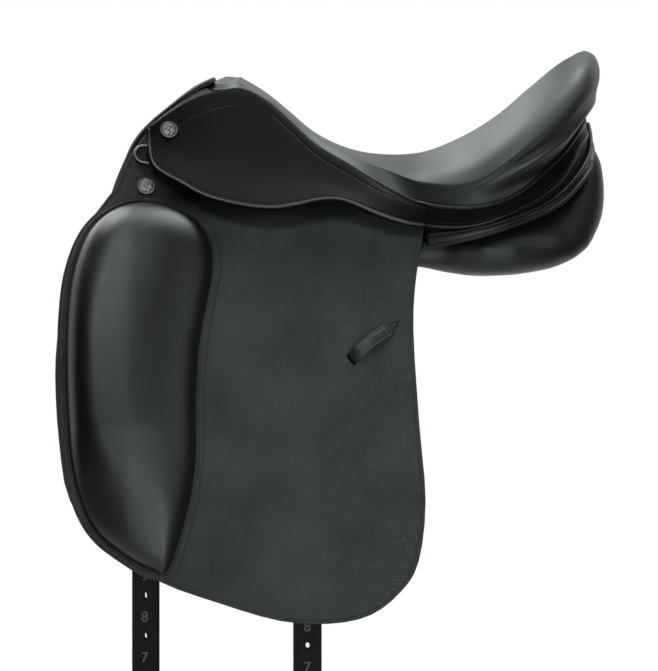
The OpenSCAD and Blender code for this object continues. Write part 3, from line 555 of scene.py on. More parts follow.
def leather(name, tone, rough, grain, depth, specular, uneven=0.25, skirt_shadow=None):
    """Leather with cells of grain of a size in millimetres, pores, uneven tone and a soft gloss. Above the two
    heights of skirt_shadow it has a painted shadow of the skirt: darker colour and weaker gloss, less on the
    ear."""
    mat, g, coords = new_material(name)
    wobble = g.node("TexNoise", {"Vector": coords, "Scale": 420 / grain})["Color"]
    warped = g.node("Mix", {"Factor": GRAIN_WARP, 4: coords, 5: wobble}, data_type="VECTOR")[1]
    cells = g.node("TexVoronoi", {"Vector": warped, "Scale": 1000 / grain}, feature="DISTANCE_TO_EDGE")
    plateau = g.spread(cells["Distance"], 0, 1, 0.0, GRAIN_VALLEY)
    pores = g.noise(coords, 2600 / grain, 2.0)
    height = g.maths("ADD", plateau, g.maths("MULTIPLY", pores, PORE_SHARE))
    patches = g.spread(g.noise(coords, PATCHES, 4.0), 0.0, 1.0)
    shade = g.maths("MULTIPLY", patches, g.spread(plateau, 0.55, 1.0, 0.0, 0.8))
    dark, light = ([c * (1 + k) for c in tone] for k in (-uneven, uneven))
    colour = g.tint(shade, dark, light)
    # Painted shadow of the skirt: colour and gloss darken above the heights of skirt_shadow, less on the ear in
    # front
    if skirt_shadow:
        split = g.node("SeparateXYZ", {"Vector": coords})
        ear = g.spread(split["X"], 1.0, EAR_SHADOW_SHARE, *EAR_FROM)
        shadow_mask = g.maths("MULTIPLY", g.spread(split["Z"], 0.0, 1.0, *skirt_shadow), ear)
        shadowed_dark, shadowed_light = ([c * SKIRT_SHADOW_TONE for c in t] for t in (dark, light))
        colour = g.tint(shadow_mask, colour, g.tint(shade, shadowed_dark, shadowed_light))
        specular = g.spread(shadow_mask, specular, specular * SKIRT_SHADOW_TONE, 0, 1)
    handled = g.noise(coords, HANDLING, 5.0)
    g.surface(Base_Color=colour, Roughness=g.spread(handled, rough - uneven / 8, rough + uneven / 8),
              Specular_IOR_Level=specular, Specular_Tint=COOL_SHINE, Normal=g.bump(height, depth, GRAIN_DEEP))
    return mat


def metal(name, tone, rough, scratch):
    """Metal with fine scratches and a little haze."""
    mat, g, coords = new_material(name)
    haze = g.noise(coords, 90, 4.0)
    g.surface(Base_Color=g.tint(haze, [c * 0.82 for c in tone], tone), Metallic=1.0,
              Roughness=g.spread(haze, rough - 0.06, rough + 0.1),
              Normal=g.bump(g.noise(coords, 1400, 3.0), scratch, 0.0001))
    return mat


def thread_material():
    """Waxed sewing thread with its twist."""
    mat, g, coords = new_material("waxed_thread")
    twist = g.wave(coords, 700, 1.5, "DIAGONAL")
    g.surface(Base_Color=g.tint(twist, (0.002, 0.0022, 0.0023), (0.0055, 0.006, 0.0062)), Roughness=0.5,
              Normal=g.bump(twist, 0.4, 0.0002))
    return mat


def wood_material():
    """Beech, stained dark: long grain along the saddle, with short flecks."""
    mat, g, coords = new_material("beech_wood")
    stretched = g.node("Mapping", {"Vector": coords, "Scale": (12, 160, 160)})["Vector"]
    streaks = g.noise(stretched, 1.0, 6.0)
    stain = g.tint(g.spread(streaks, 0, 1), (0.016, 0.011, 0.008), (0.034, 0.024, 0.017))
    g.surface(Base_Color=stain, Roughness=g.spread(streaks, 0.5, 0.68), Normal=g.bump(streaks, 0.25, 0.0004))
    return mat


def web_material():
    """Strained webbing: a plain weave of flax, dyed black."""
    mat, g, coords = new_material("flax_webbing")
    cloth = g.maths("MAXIMUM", *(g.wave(coords, 210, 0.4, axis) for axis in "XY"))
    g.surface(Base_Color=g.tint(cloth, (0.006, 0.006, 0.006), (0.016, 0.016, 0.0155)), Roughness=0.85,
              Normal=g.bump(cloth, 0.6, 0.0006))
    return mat


SEAT_LEATHER = leather("seat_leather", (0.0075, 0.0087, 0.0092), 0.5, 0.9, 0.04, 0.7, 0.1)
# Grained flap leather, with a painted shadow of the skirt above 45 to 75 mm
FLAP_LEATHER = leather("grained_leather", (0.031, 0.0358, 0.0373), 0.62, 1.9, 1.0, 0.42, 0.4, (0.045, 0.075))
SKIRT_LEATHER = leather("skirt_leather", (0.0024, 0.0030, 0.0034), 0.46, 0.9, 0.12, 0.06)
BLOCK_LEATHER = leather("block_leather", (0.0034, 0.0040, 0.0042), 0.35, 0.9, 0.18, 0.56)
PANEL_LEATHER = leather("panel_leather", (0.0064, 0.0074, 0.0077), 0.44, 0.9, 0.12, 0.5)
PIPING_LEATHER = leather("piping_leather", (0.0055, 0.0063, 0.0066), 0.42, 0.7, 0.10, 0.35)
# Lighter than the skirt it binds: a painted highlight of the skirts' lit rolled edge
BINDING_PAINTED_HIGHLIGHT = leather("binding_painted_highlight", (0.022, 0.0256, 0.0266), 0.45, 0.7, 0.10, 0.5)
KEEPER_LEATHER = leather("keeper_leather", (0.014, 0.0162, 0.0169), 0.4, 0.8, 0.18, 0.5)
STRAP_LEATHER = leather("strap_leather", (0.0028, 0.0033, 0.0035), 0.5, 0.8, 0.18, 0.12)
LINING_LEATHER = leather("lining_leather", (0.0050, 0.0054, 0.0056), 0.65, 1.0, 0.25, 0.2)
# Near-black: painted shade in the keepers' slits, and the dark thread of the keepers' stitches
SLIT_SHADE_AND_THREAD = leather("slit_painted_shade", (0.0015, 0.0015, 0.0016), 0.8, 1.0, 0.2, 0.05)
STAMP = leather("stamped_number", (0.07, 0.075, 0.075), 0.6, 0.6, 0.2, 0.3)
THREAD = thread_material()
NICKEL = metal("nickel", (0.13, 0.134, 0.13), 0.4, 0.1)
STEEL = metal("blued_steel", (0.34, 0.35, 0.37), 0.36, 0.12)
BEECH = wood_material()
WEBBING = web_material()

NODE_MATERIALS = {
    BEECH: ("tree_rails", "tree_head"),
    WEBBING: ("seat_web",),
    LINING_LEATHER: ("gullet_lining", "point_pocket"),
    STEEL: ("gullet_plate", "tree_rivets", "bar_rivets", "catch_pin"),
    NICKEL: ("dee_ring", "stirrup_bar", "bar_catch"),
    STRAP_LEATHER: ("dee_tab", "front_billet", "rear_billet"),
}


def dress_nodes():
    """Gives the CAD nodes that stay in view their materials."""
    for name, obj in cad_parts.items():
        base = name.removesuffix("_left").removesuffix("_right")
        for material, bases in NODE_MATERIALS.items():
            if base in bases:
                obj.data.materials.clear()
                obj.data.materials.append(material)


# Stage

CAMERA_FAR, SENSOR = 30.0, 36
VIEW_CENTRE = photo_xz([[PHOTO_W / 2, PHOTO_H / 2]])[0]
FLOOR_R, FLOOR_SIDES, FLOOR_GAP = 1.6, 96, 0.002
FLOOR_FADE = (0.5, 1.55)
# Lamps above and around, which face one point: place, size and watts. The low one has its own target, and a
# spread in degrees.
LAMP_TARGET = (0, 0.05, -0.08)
LAMPS = {
    "overhead": ((0, 0.2, 2.5), (0.8, 0.8), 15),
    "behind": ((1.2, -1.9, 1.2), (1.6, 0.8), 11),
    "back_left": ((1.0, -0.64, 2.2), (0.8, 0.8), 36),
    "back_right": ((-0.95, -0.5, 2.28), (0.8, 0.8), 33),
    "front": ((0.35, 1.95, 1.7), (1.2, 0.7), 25),
    "front_right": ((-2.06, 1.49, 0.59), (0.8, 0.8), 7),
    "front_low": ((-0.12, 0.9, -0.46), (0.7, 0.9), 1.0, (0.03, 0.2, -0.33), 65),
}


def make_camera():
    """A long lens square to the saddle's left side."""
    data = bpy.data.cameras.new("camera")
    cam = place("camera", data)
    cam.location = (VIEW_CENTRE[0] * MM, CAMERA_FAR, VIEW_CENTRE[1] * MM)
    cam.rotation_euler = (math.radians(90), 0, math.radians(180))
    data.sensor_width = SENSOR
    data.lens = SENSOR * CAMERA_FAR / (PHOTO_H * PX_MM * MM)
    data.clip_end = 2 * CAMERA_FAR
    bpy.context.scene.camera = cam


def soft_lamp(name, spot, size, watts, target=LAMP_TARGET, fan=180):
    data = bpy.data.lights.new(name, "AREA")
    data.shape = "RECTANGLE"
    data.size, data.size_y = size
    data.energy = watts
    data.spread = math.radians(fan)
    lamp = place(name, data)
    lamp.location = spot
    lamp.rotation_euler = (Vector(target) - Vector(spot)).to_track_quat("-Z", "Y").to_euler()
    lamp.visible_camera = False


def make_world():
    """White to the camera, and to gloss that looks to the far side. Dim for the light it gives."""
    world = bpy.data.worlds.new("studio")
    bpy.context.scene.world = world
    world.use_nodes = True
    g = Graph(world.node_tree)
    split = g.node("SeparateXYZ", {"Vector": g.node("TexCoord")["Generated"]})
    glow = g.spread(split["Z"], 0.01, 0.04, -0.4, 0.9)
    room = g.spread(split["Y"], 0.95, 0.02, -0.65, -0.35)
    path = g.node("LightPath")
    gloss = g.maths("MULTIPLY", path["Is Glossy Ray"], room)
    seen = g.maths("MAXIMUM", path["Is Camera Ray"], path["Is Transmission Ray"])
    seen = g.maths("MAXIMUM", seen, gloss)
    back = g.nodes["Background"]
    g.put(back.inputs["Color"], (1, 1, 1, 1))
    g.put(back.inputs["Strength"], g.maths("MAXIMUM", seen, glow))


def make_floor():
    """A pale disc under the billets that fades out at its rim and is clear from below."""
    z = cad_box[0].z - FLOOR_GAP
    mesh = bpy.data.meshes.new("floor")
    ring = [(FLOOR_R * math.cos(a), FLOOR_R * math.sin(a), z) for a in turns(FLOOR_SIDES)]
    mesh.from_pydata(ring, [], [tuple(range(FLOOR_SIDES))])
    floor = place("floor", mesh)
    mat, g, coords = new_material("pale_floor")
    g.surface(Base_Color=(0.86, 0.86, 0.85, 1), Roughness=0.9)
    flat = g.node("VectorMath", {0: coords, 1: (1, 1, 0)}, operation="MULTIPLY")["Vector"]
    reach = g.node("VectorMath", {0: flat}, operation="LENGTH")["Value"]
    under = g.node("NewGeometry")["Backfacing"]
    faint = g.maths("MAXIMUM", g.spread(reach, 0, 1, *FLOOR_FADE), under)
    pale, clear = g.nodes["Principled BSDF"].outputs["BSDF"], g.node("BsdfTransparent")["BSDF"]
    mixed = g.node("MixShader", {"Fac": faint, 1: pale, 2: clear})["Shader"]
    g.put(g.nodes["Material Output"].inputs["Surface"], mixed)
    mesh.materials.append(mat)


def make_stage():
    """White surroundings, a pale floor and soft lamps."""
    bpy.context.scene.view_settings.view_transform = "Standard"
    make_world()
    make_floor()
    for name, lamp in LAMPS.items():
        soft_lamp(name, *lamp)


# Seat: ribs fan from its spine round its edge, from the pommel to the cantle, as in the CAD model.
# Each row has the place along the seat, the spine's x, the rib's bearing from forwards, the spine's height,
# dish, crest, bulge and edge as distance and height, and the padding at the spine and under the crest.
# P, D and C are the heights of the pommel, the dip and the cantle.
P, D, C = 200, 118.5, 229
SEAT_ROWS = [
    [0.00, [94, 6, P, 9, P + 1, 16, P + 1, 21, P - 2.5, 22.5, P - 12, 13, 13]],
    [0.08, [92, 64, P, 15, P, 28, P - 3, 47, P - 7, 52, P - 13.5, 13, 13]],
    [0.16, [91, 88, P - 1, 18, P - 1, 32, P - 3, 54, P - 7, 61, P - 12.5, 13, 13]],
    [0.25, [68, 90, P - 15, 20, P - 15, 40, P - 17, 61, P - 20, 69, P - 24, 13, 13]],
    [0.33, [45, 90, D + 48, 22, D + 48, 45, D + 45.5, 69, D + 42, 79, D + 38, 13, 13]],
    [0.42, [15, 90, D + 23.5, 25, D + 23.5, 55, D + 22, 84, D + 18, 96, D + 10.5, 16, 16]],
    [0.50, [-20, 90, D + 7, 30, D + 7.5, 62, D + 6.5, 98, D - 1, 109, D - 10.5, 22, 22]],
    [0.58, [-60, 90, D, 32, D + 0.5, 68, D + 0.5, 108, D - 11, 121, D - 34, 22, 22]],
    [0.66, [-98, 90, D + 0.5, 36, D + 2, 80, D + 3, 123, D - 17, 134, D - 51, 22, 21.5]],
    [0.74, [-122, 100, D + 5.5, 48, D + 9.5, 94, D + 18.5, 142, D - 16, 148, D - 54, 22, 25.7]],
    [0.80, [-130, 114, D + 9.5, 55, D + 17.5, 104, D + 39.5, 152, D + 2, 152, D - 46, 22, 32]],
    [0.86, [-136, 132, D + 12.5, 58, D + 28.5, 108, C - 40.5, 153, C - 75, 148, D - 30, 22, 41]],
    [0.92, [-140, 150, D + 14.5, 60, D + 36.5, 114, C - 15, 150, C - 44, 138, D + 4.5, 22, 46]],
    [0.97, [-142.7, 168, D + 15.2, 60, D + 38.6, 116, C - 4, 139.5, C - 30, 124.5, D + 22, 22, 43]],
    [1.00, [-144, 179, D + 15.5, 60, D + 39.5, 119, C - 1, 134.5, C - 19, 117, D + 33, 22, 40]],
]
SEAT_EDGE_T = 6
# Along the seat: how far its bulge swells and drops, a roll under it stands out and the hollow under the roll
# goes in, and how round the shoulder over the bulge is
SEAT_SIDE = [[0, [0, 0, 0, 0, 0]], [0.50, [0, 0, 0, 0, 0]], [0.58, [5, 5, 0, 0, 0]],
             [0.66, [12, 13, 0, 0, 0.2]], [0.74, [10, 13, 0, 0, 0.3]], [0.80, [10, 2, 6, 6, 0.45]],
             [0.86, [4, 0, 3, 8, 0.75]], [0.92, [0, 0, 2, 8, 1]], [1, [0, 0, 0, 8, 1]]]
# Turns of the points on the shoulder, and shares of the way from dish to crest of the points before it
SHOULDER, INNER = (math.radians(40), math.radians(70)), (0.6, 0.85)
# Rise of the spine towards the cantle, which the ribs that point back carry on
SPINE_SLOPE = 0.4
# Points of the roll, as a share of the way from the bulge to the sewn edge and of how far it stands out
ROLL = ((0.13, 0.08), (0.24, 0.45), (0.31, 1.0), (0.38, 0.6))
HOLLOW_AT = 0.64
SIDE_STEPS = 5
SEAT_RIBS = 97
UNDER_CREST, UNDER_EDGE = 0.88, 4


def rib_points(row, flat):
    """Points of a rib given as distance from the spine and height."""
    a, bearing = row[0], math.radians(row[1])
    flat = np.asarray(flat, float)
    return np.stack([a + flat[:, 0] * math.cos(bearing), flat[:, 0] * math.sin(bearing), flat[:, 1]], 1)


def seat_edge(u, out=0.0, drop=0.0):
    """Points of the seat's sewn edge on the left, moved out along the ribs and down."""
    rows = curve_at(SEAT_ROWS, u)
    return np.array([rib_points(r, [[r[9] + out, r[10] - drop]])[0] for r in rows])


def both_sides(line):
    """A line on the left that runs on over the mid plane to the right."""
    return np.vstack([line, line[::-1][1 if abs(line[-1][1]) < 1e-6 else 0:] * (1, -1, 1)])


def rib_top(u, row):
    """Seat's upper profile on one rib."""
    swell, drop, out, inwards, full = curve_at(SEAT_SIDE, u)[0]
    dish, crest, bulge, edge = row[3:5], row[5:7], row[7:9] + (swell, -drop), row[9:11]
    centre = np.array([0, row[2]])
    shoulder = []
    for a in SHOULDER:
        plain = catmull(dish, crest, bulge, edge, math.sin(a))
        curved = np.array([crest[0] + (bulge[0] - crest[0]) * math.sin(a),
                           bulge[1] + (crest[1] - bulge[1]) * math.cos(a)])
        shoulder.append(plain + (curved - plain) * full)
    ahead = shoulder[0] + (bulge - shoulder[0]) * full
    inner = [catmull(centre, dish, crest, ahead, t) for t in INNER]
    roll = [bulge + (edge - bulge) * share + (stand * out, 0) for share, stand in ROLL]
    hollow = bulge + (edge - bulge) * HOLLOW_AT - (inwards, 0)
    points = [centre, dish, *inner, crest, *shoulder, bulge, *roll, hollow, edge]
    climb = SPINE_SLOPE * max(0, -math.cos(math.radians(row[1])))
    return spline(points, SIDE_STEPS, [-row[3], row[4] - 2 * row[3] * climb])


def seat_wall(u, out, rise):
    """A point on the seat's side, a rise over its sewn edge and out from it."""
    row = curve_at(SEAT_ROWS, u)[0]
    side = rib_top(u, row)[-2 * SIDE_STEPS - 1:][::-1]
    reach = np.interp(row[10] + rise, side[:, 1], side[:, 0])
    return rib_points(row, [[reach + out, row[10] + rise]])[0]


def seat_shape():
    """The seat's skin, over and under its ribs."""
    rings = []
    places = np.linspace(0, 1, SEAT_RIBS)
    for u, row in zip(places, curve_at(SEAT_ROWS, places)):
        padding, crest_padding = row[11:]
        start = [-row[3], row[4] - padding]
        under = spline([[0, row[2] - padding], [row[3], row[4] - padding],
                        [UNDER_CREST * row[5], row[6] - crest_padding],
                        [row[9] - UNDER_EDGE, row[10] - SEAT_EDGE_T]], SIDE_STEPS, start)
        half = rib_points(row, np.vstack([rib_top(u, row), under[::-1]]))
        half[0, 1] = half[-1, 1] = 0
        rings.append(np.vstack([half, half[-2:0:-1] * (1, -1, 1)]))
    points, faces = loft(rings)
    n = len(rings[0])
    return points, faces + zipped(0, n) + zipped((SEAT_RIBS - 1) * n, n)


def make_seat():
    """The seat's cover, and a welt along its sewn edge that climbs onto the binding behind."""
    seat = add("seat_cover", seat_shape(), SEAT_LEATHER, replaces=["seat"])
    bound_from = BINDING[0][0]
    front = seat_edge(np.linspace(0, bound_from, 110), out=WELT_OUT, drop=0.5)
    rear = [seat_wall(u, *curve_at(BINDING, u)[0, :2]) for u in np.linspace(bound_from + 0.01, 1, 60)]
    add("seat_welt", piping(both_sides(np.vstack([front, rear])), 2.2), PIPING_LEATHER)


# Skirts

SKIRT_T = 4
SKIRT_ACROSS = SKIRT_T / math.cos(math.radians(30))
# How far the lower edge stands off the flap, the share of that at its two ends and the power of its curve
SKIRT_FLARE, FLARE_ENDS, FLARE_ROUND = 33, 0.36, 0.6
SKIRT_DROP = 2.5
SKIRT_BOUND = 1.5
SKIRT_TAIL, SKIRT_NOSE, LOBE_NOSE = -100, 191, 189
SKIRT_FOLD_FRONT, SKIRT_FOLD_REAR = np.array([184, 111.5, 133]), np.array([-96, 141.5, 65])
SKIRT_LOWER = [[SKIRT_TAIL, 46], [-80, 48], [-50, 57], [-22, 69], [-5, 73.5], [14, 72.5], [34, 68],
               [60, 64.5], [90, 67], [130, 77], [157, 91.5], [176, 102], [184, 110], [LOBE_NOSE, 124]]
SEAM_FRONT = [[124, [69, 186]], [156, [88, 172]], [SKIRT_NOSE, [106, 147]]]
WELT_OUT = 0.8


def skirt_upper():
    """Rows of the skirt's upper edge: along the seat and on down the front of the pommel."""
    rows = []
    for _, r in SEAT_ROWS[9:1:-1]:
        e = rib_points(r, [[r[9], r[10]]])[0]
        rows.append([e[0], [e[1] + WELT_OUT, e[2] + 0.5]])
    return rows + SEAM_FRONT


def skirt_lines(x_top, x_low):
    """Points of the skirt's outer face at its upper edge, its fold and its lower edge."""
    upper = curve_at(skirt_upper(), x_top)
    a = np.stack([x_top, upper[:, 0] + SKIRT_ACROSS, upper[:, 1] - SKIRT_DROP], 1)
    x_mid = (x_top + x_low) / 2
    t = (x_mid - SKIRT_FOLD_REAR[0]) / (SKIRT_FOLD_FRONT[0] - SKIRT_FOLD_REAR[0])
    b = SKIRT_FOLD_REAR + (SKIRT_FOLD_FRONT - SKIRT_FOLD_REAR) * t[:, None]
    z = curve_at(SKIRT_LOWER, x_low)[:, 0]
    share = np.clip((x_low - SKIRT_TAIL) / (SKIRT_NOSE - SKIRT_TAIL), 0, 1)
    middle = np.maximum(0, np.sin(math.pi * share)) ** FLARE_ROUND
    flare = SKIRT_FLARE * (FLARE_ENDS + (1 - FLARE_ENDS) * middle)
    c = np.stack([x_low, side_y(np.stack([x_low, z], 1)) + flare, z], 1)
    return a, b, c


SKIRT_OUT = (0, 1, 0.3)
# Rows down the skirt, as distances from its upper and its lower edge, close together at the crease under the
# seat's welt and at the sewn groove over the lower edge. All draw in where the skirt is less than SKIRT_DEEP.
TOP_ROWS = np.array([0, 2, 4.5, 7, 8.2, 8.8, 9.5, 10.2, 10.8, 12])
LOW_ROWS = np.array([7.5, 6.2, 5.6, 5.0, 4.4, 3.8, 2.2, 0])
CREASE_ROW, SEAM_ROW = 6, -5
SKIRT_COLUMNS, MIDDLE_ROWS, SKIRT_DEEP = 150, 20, 45
# The crease behind the stud: where it starts, the run over which it becomes full, and where its stitches start
CREASE_X, CREASE_RUN, CREASE_SEWN = 72, 40, 40
# Depth and width of the crease and of the sewn groove
CREASE_CUT, SEAM_CUT = (0.9, 0.9), (0.6, 0.7)


def skirt_grid():
    """Grid of the skirt's outer face, with its crease and groove, and the face's normals."""
    s = np.linspace(0, 1, SKIRT_COLUMNS)
    a, b, c = skirt_lines(SKIRT_TAIL + 1 + s * (SKIRT_NOSE - SKIRT_TAIL - 3),
                          SKIRT_TAIL + 1 + s * (LOBE_NOSE - SKIRT_TAIL - 3))
    columns, from_top, from_low = [], [], []
    for points in zip(a, b, c):
        line = spline(points, 24)
        d = distances(line)
        k = min(1, d[-1] / SKIRT_DEEP)
        middle = np.linspace(TOP_ROWS[-1] * k, d[-1] - LOW_ROWS[0] * k, MIDDLE_ROWS)[1:-1]
        at = np.concatenate([TOP_ROWS * k, middle, d[-1] - LOW_ROWS * k])
        columns.append(sampled(line, d, at))
        from_top.append(at / k)
        from_low.append((d[-1] - at) / k)
    grid = np.array(columns).transpose(1, 0, 2)
    from_top, from_low = np.array(from_top).T, np.array(from_low).T
    n = grid_normals(grid, SKIRT_OUT)
    behind = np.clip((CREASE_X - grid[..., 0]) / CREASE_RUN, 0, 1)
    crease = behind * CREASE_CUT[0] * bell(from_top - TOP_ROWS[CREASE_ROW], CREASE_CUT[1])
    seam = SEAM_CUT[0] * bell(from_low - LOW_ROWS[SEAM_ROW], SEAM_CUT[1])
    return grid - n * (crease + seam)[..., None], n


# Sewn line behind the stud, in pixels of the photograph
STUD_SEAM = [[178, 127], [196, 118], [215, 110.5], [240, 105]]
SKIRT_BEND = 7


def make_skirts():
    """Skirts shaped over a fold under the seat, with a rolled edge and three sewn lines."""
    grid, n = skirt_grid()
    across = np.cross(unit(SKIRT_FOLD_FRONT - SKIRT_FOLD_REAR), [0, 1, 0.2])
    down = unit(-across * np.sign(across[2])) * SKIRT_BEND
    fold = (SKIRT_FOLD_FRONT + SKIRT_FOLD_REAR) / 2
    bend = ("soft_leather", "{}_skirt", fold - down, fold + down)
    shape = slab(grid, SKIRT_OUT, SKIRT_T)
    add_bending("skirt_hide", shape, SKIRT_LEATHER, *bend, ["skirt_{}", "skirt_top_{}"])
    edge = np.vstack([grid[:, -1], grid[-1, -2:0:-1]]) - [0, SKIRT_T / 4, 0]
    # The rolled edge's lighter colour is a painted highlight of its lit rim
    add_bending("skirt_binding", tube(even(edge, 3), SKIRT_BOUND, (0, 1, 0)), BINDING_PAINTED_HIGHLIGHT, *bend)
    add_pair("skirt_stitches", stitches(grid[SEAM_ROW], n[SEAM_ROW]), THREAD, "{}_skirt")
    tree = BVHTree.FromPolygons((shape[0] * MM).tolist(), shape[1])
    line = even(spline(photo_xz(STUD_SEAM), CURVE_STEPS), 2)
    add_pair("skirt_stud_stitches", stitches(*on_surface(tree, line)), THREAD)
    crease, normals = grid[CREASE_ROW], n[CREASE_ROW]
    part = crease[:, 0] < CREASE_SEWN
    add_pair("skirt_crease_stitches", stitches(crease[part], normals[part], pitch=4.0), THREAD)


# Bands round the back: the binding on the seat's side, a recess under it and the panels' double piping.
# Rows have the place along the seat, then out and rise from its sewn edge of the upper and the lower line.
BINDING = [[0.645, [5.6, 0.6, 8.2, -22]], [0.68, [5.0, 0.2, 6.5, -21]], [0.74, [2.4, 0, 2.8, -19]],
           [0.80, [1.8, 5, 2.0, -11]], [0.86, [1.8, 24, 2.0, 1]], [0.92, [1.8, 20, 2.0, 7]],
           [1, [1.8, 10, 2.0, -3]]]
PIPED = [[0.665, [0, -31, 1, -42]], [0.74, [-1, -22, 1, -31]], [0.80, [-1, -18, 1, -25]],
         [0.86, [0, -12, 2, -21]], [0.92, [4, -14, 6, -25]], [1, [6, 0, 9, -18]]]

# Recess between them: the place along the seat, how far out it lies, and the two lines that it fills between
RECESS = [[0.66, -2.5, -20, -31], [0.74, -2.5, -19, -22], [0.80, -2.5, -11, -18], [0.86, -1.5, 1, -12],
          [0.92, 0.5, 7, -14], [1, 3, -1, -4]]
RECESS_OVER, RECESS_UNDER = 6, 4
REARWARD = (-1, 0, 0.01)
BAND_T, RECESS_T, BAND_SWELL, BAND_STEPS = 3, 2.5, 0.8, 90


def band_grid(table, steps, bulge, rows):
    """Grid of a band round the back, from its upper line to its lower one."""
    grid = []
    places = np.linspace(table[0][0], 1, steps)
    lines = curve_at(table, places)
    for v in np.linspace(0, 1, rows):
        swell = bulge * math.sin(math.pi * v)
        line = [seat_wall(u, a + (c - a) * v + swell, b + (d - b) * v)
                for u, (a, b, c, d) in zip(places, lines)]
        grid.append(both_sides(np.array(line)))
    return np.array(grid)


def make_bands():
    """The sewn and piped binding, the recess and the panels' welt."""
    grid = band_grid(BINDING, BAND_STEPS, BAND_SWELL, 11)
    add("cantle_binding", slab(grid, REARWARD, BAND_T, flat_ends=True), SKIRT_LEATHER)
    add("cantle_binding_piping", piping(grid[-1], 1.5), PIPING_LEATHER)
    add("cantle_binding_stitches", stitches(grid[-3], grid_normals(grid, REARWARD)[-3]), THREAD)

    recess = [[u, [out, up + RECESS_OVER, out, low - RECESS_UNDER]] for u, out, up, low in RECESS]
    grid = band_grid(recess, 60, 0, 5)
    add("cantle_recess", slab(grid, REARWARD, RECESS_T), LINING_LEATHER, replaces=["cantle_band"])

    grid = band_grid(PIPED, BAND_STEPS, -BAND_SWELL, 7)
    add("panel_welt", slab(grid, REARWARD, BAND_T), PANEL_LEATHER, replaces=["panel_facing"])
    for k, row in enumerate((0, -1)):
        add(f"panel_welt_piping_{k}", piping(grid[row], 2.4), PIPING_LEATHER)


# Panels

def soft_copy(node, voxel, rounds):
    """A CAD solid as an even, smoothed mesh, as points in millimetres and faces."""
    obj = place("soft_copy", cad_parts[node].data.copy())
    remesh = obj.modifiers.new("even", "REMESH")
    remesh.mode = "VOXEL"
    remesh.voxel_size = voxel * MM
    smooth = obj.modifiers.new("smooth", "SMOOTH")
    smooth.factor = 0.5
    smooth.iterations = rounds
    dg = bpy.context.evaluated_depsgraph_get()
    mesh = bpy.data.meshes.new_from_object(obj.evaluated_get(dg))
    points = np.array([v.co for v in mesh.vertices]) / MM
    faces = [tuple(f.vertices) for f in mesh.polygons]
    bpy.data.objects.remove(obj)
    bpy.data.meshes.remove(mesh)
    return points, faces


# Swelling of a panel by its filling: the cloth's run, then the most it may travel and rounds of easing it
SWELL_FRAMES, SWELL_PRESSURE, SWELL_STRETCH, SWELL_STIFF = 20, 6, 0.03, 5
SWELL_CAP, SWELL_EASE = 7, 14


def swollen(shape, held, cap):
    """A skin that its filling swells: cloth under pressure, with some points held and a cap on its travel."""
    obj = make("swelling", shape, PANEL_LEATHER)
    start = np.array([v.co for v in obj.data.vertices])
    faces = [tuple(f.vertices) for f in obj.data.polygons]
    fixed = obj.vertex_groups.new(name="fixed")
    fixed.add([int(i) for i in np.flatnonzero(held(start / MM))], 1.0, "REPLACE")
    cloth = obj.modifiers.new("swell", "CLOTH")
    cloth.settings.quality = 5
    cloth.settings.shrink_min = -SWELL_STRETCH
    cloth.settings.tension_stiffness = cloth.settings.compression_stiffness = SWELL_STIFF
    cloth.settings.use_pressure = True
    cloth.settings.uniform_pressure_force = SWELL_PRESSURE
    cloth.settings.vertex_group_mass = fixed.name
    cloth.settings.effector_weights.gravity = 0
    cloth.collision_settings.use_collision = False
    scene = bpy.context.scene
    for step in range(1, SWELL_FRAMES + 1):
        scene.frame_set(step)
    mesh = bpy.data.meshes.new_from_object(obj.evaluated_get(bpy.context.evaluated_depsgraph_get()))
    travel = np.array([v.co for v in mesh.vertices]) - start
    far = np.linalg.norm(travel, axis=1, keepdims=True)
    travel *= np.minimum(1, cap * MM / np.maximum(far, 1e-9))
    pairs = np.array([e.vertices for e in obj.data.edges])
    near = np.bincount(pairs.ravel(), minlength=len(start))[:, None]
    for _ in range(SWELL_EASE):
        around = np.zeros_like(travel)
        np.add.at(around, pairs[:, 0], travel[pairs[:, 1]])
        np.add.at(around, pairs[:, 1], travel[pairs[:, 0]])
        travel = (travel + around / near) / 2
    scene.frame_set(1)
    bpy.data.objects.remove(obj)
    bpy.data.meshes.remove(mesh)
    return (start + travel) / MM, faces


# Bounds of the part that swells: the flap, the channel and the upper seam, which climbs behind SEAM_CLIMBS
FLAP_COVERS, CHANNEL_EDGE, UPPER_SEAM, SEAM_CLIMBS, SEAM_CLIMB = -98, 40, 62, -220, 1.2


def panel_held(p):
    """The panel's points that its filling can't move."""
    seam = UPPER_SEAM + np.maximum(0, SEAM_CLIMBS - p[:, 0]) * SEAM_CLIMB
    return (p[:, 0] > FLAP_COVERS) | (p[:, 1] < CHANNEL_EDGE) | (p[:, 2] > seam)


def make_panels():
    """Panels that are evened out from the CAD solid, and swollen by their filling."""
    shape = soft_copy("panel_left", 5, 12)
    shape = swollen(shape, panel_held, SWELL_CAP)
    panels = add_pair("panel_cover", shape, PANEL_LEATHER, replaces=["panel_{}"])
    for p in panels:
        fine = p.modifiers.new("fine", "SUBSURF")
        fine.levels = fine.render_levels = 1


# Flaps

FOLD_UP = np.array([-SIDE_SIN, 0, SIDE_COS])
FOLD_POINT = np.array([0, 131.2, FOLD_Z])
FLAP_BEND = 6
FLAP_SEAM, FLAP_SEAM_H = 4, -0.5
# How far the outline's points and the stitches keep from the fold
FOLD_CLEAR, SEAM_CLEAR = 2.0, 8
EAR_X = 185


def over_fold(points):
    """Heights of side-view points over the flap's fold."""
    return points[:, 1] - FOLD_Z - points[:, 0] * math.tan(SIDE_PITCH)


def from_start(loop, chosen):
    """A loop, and which of its points are chosen, turned so that a chosen run comes first."""
    first = np.flatnonzero(chosen & ~np.roll(chosen, 1))[0]
    return np.roll(loop, -first, 0), np.roll(chosen, -first)


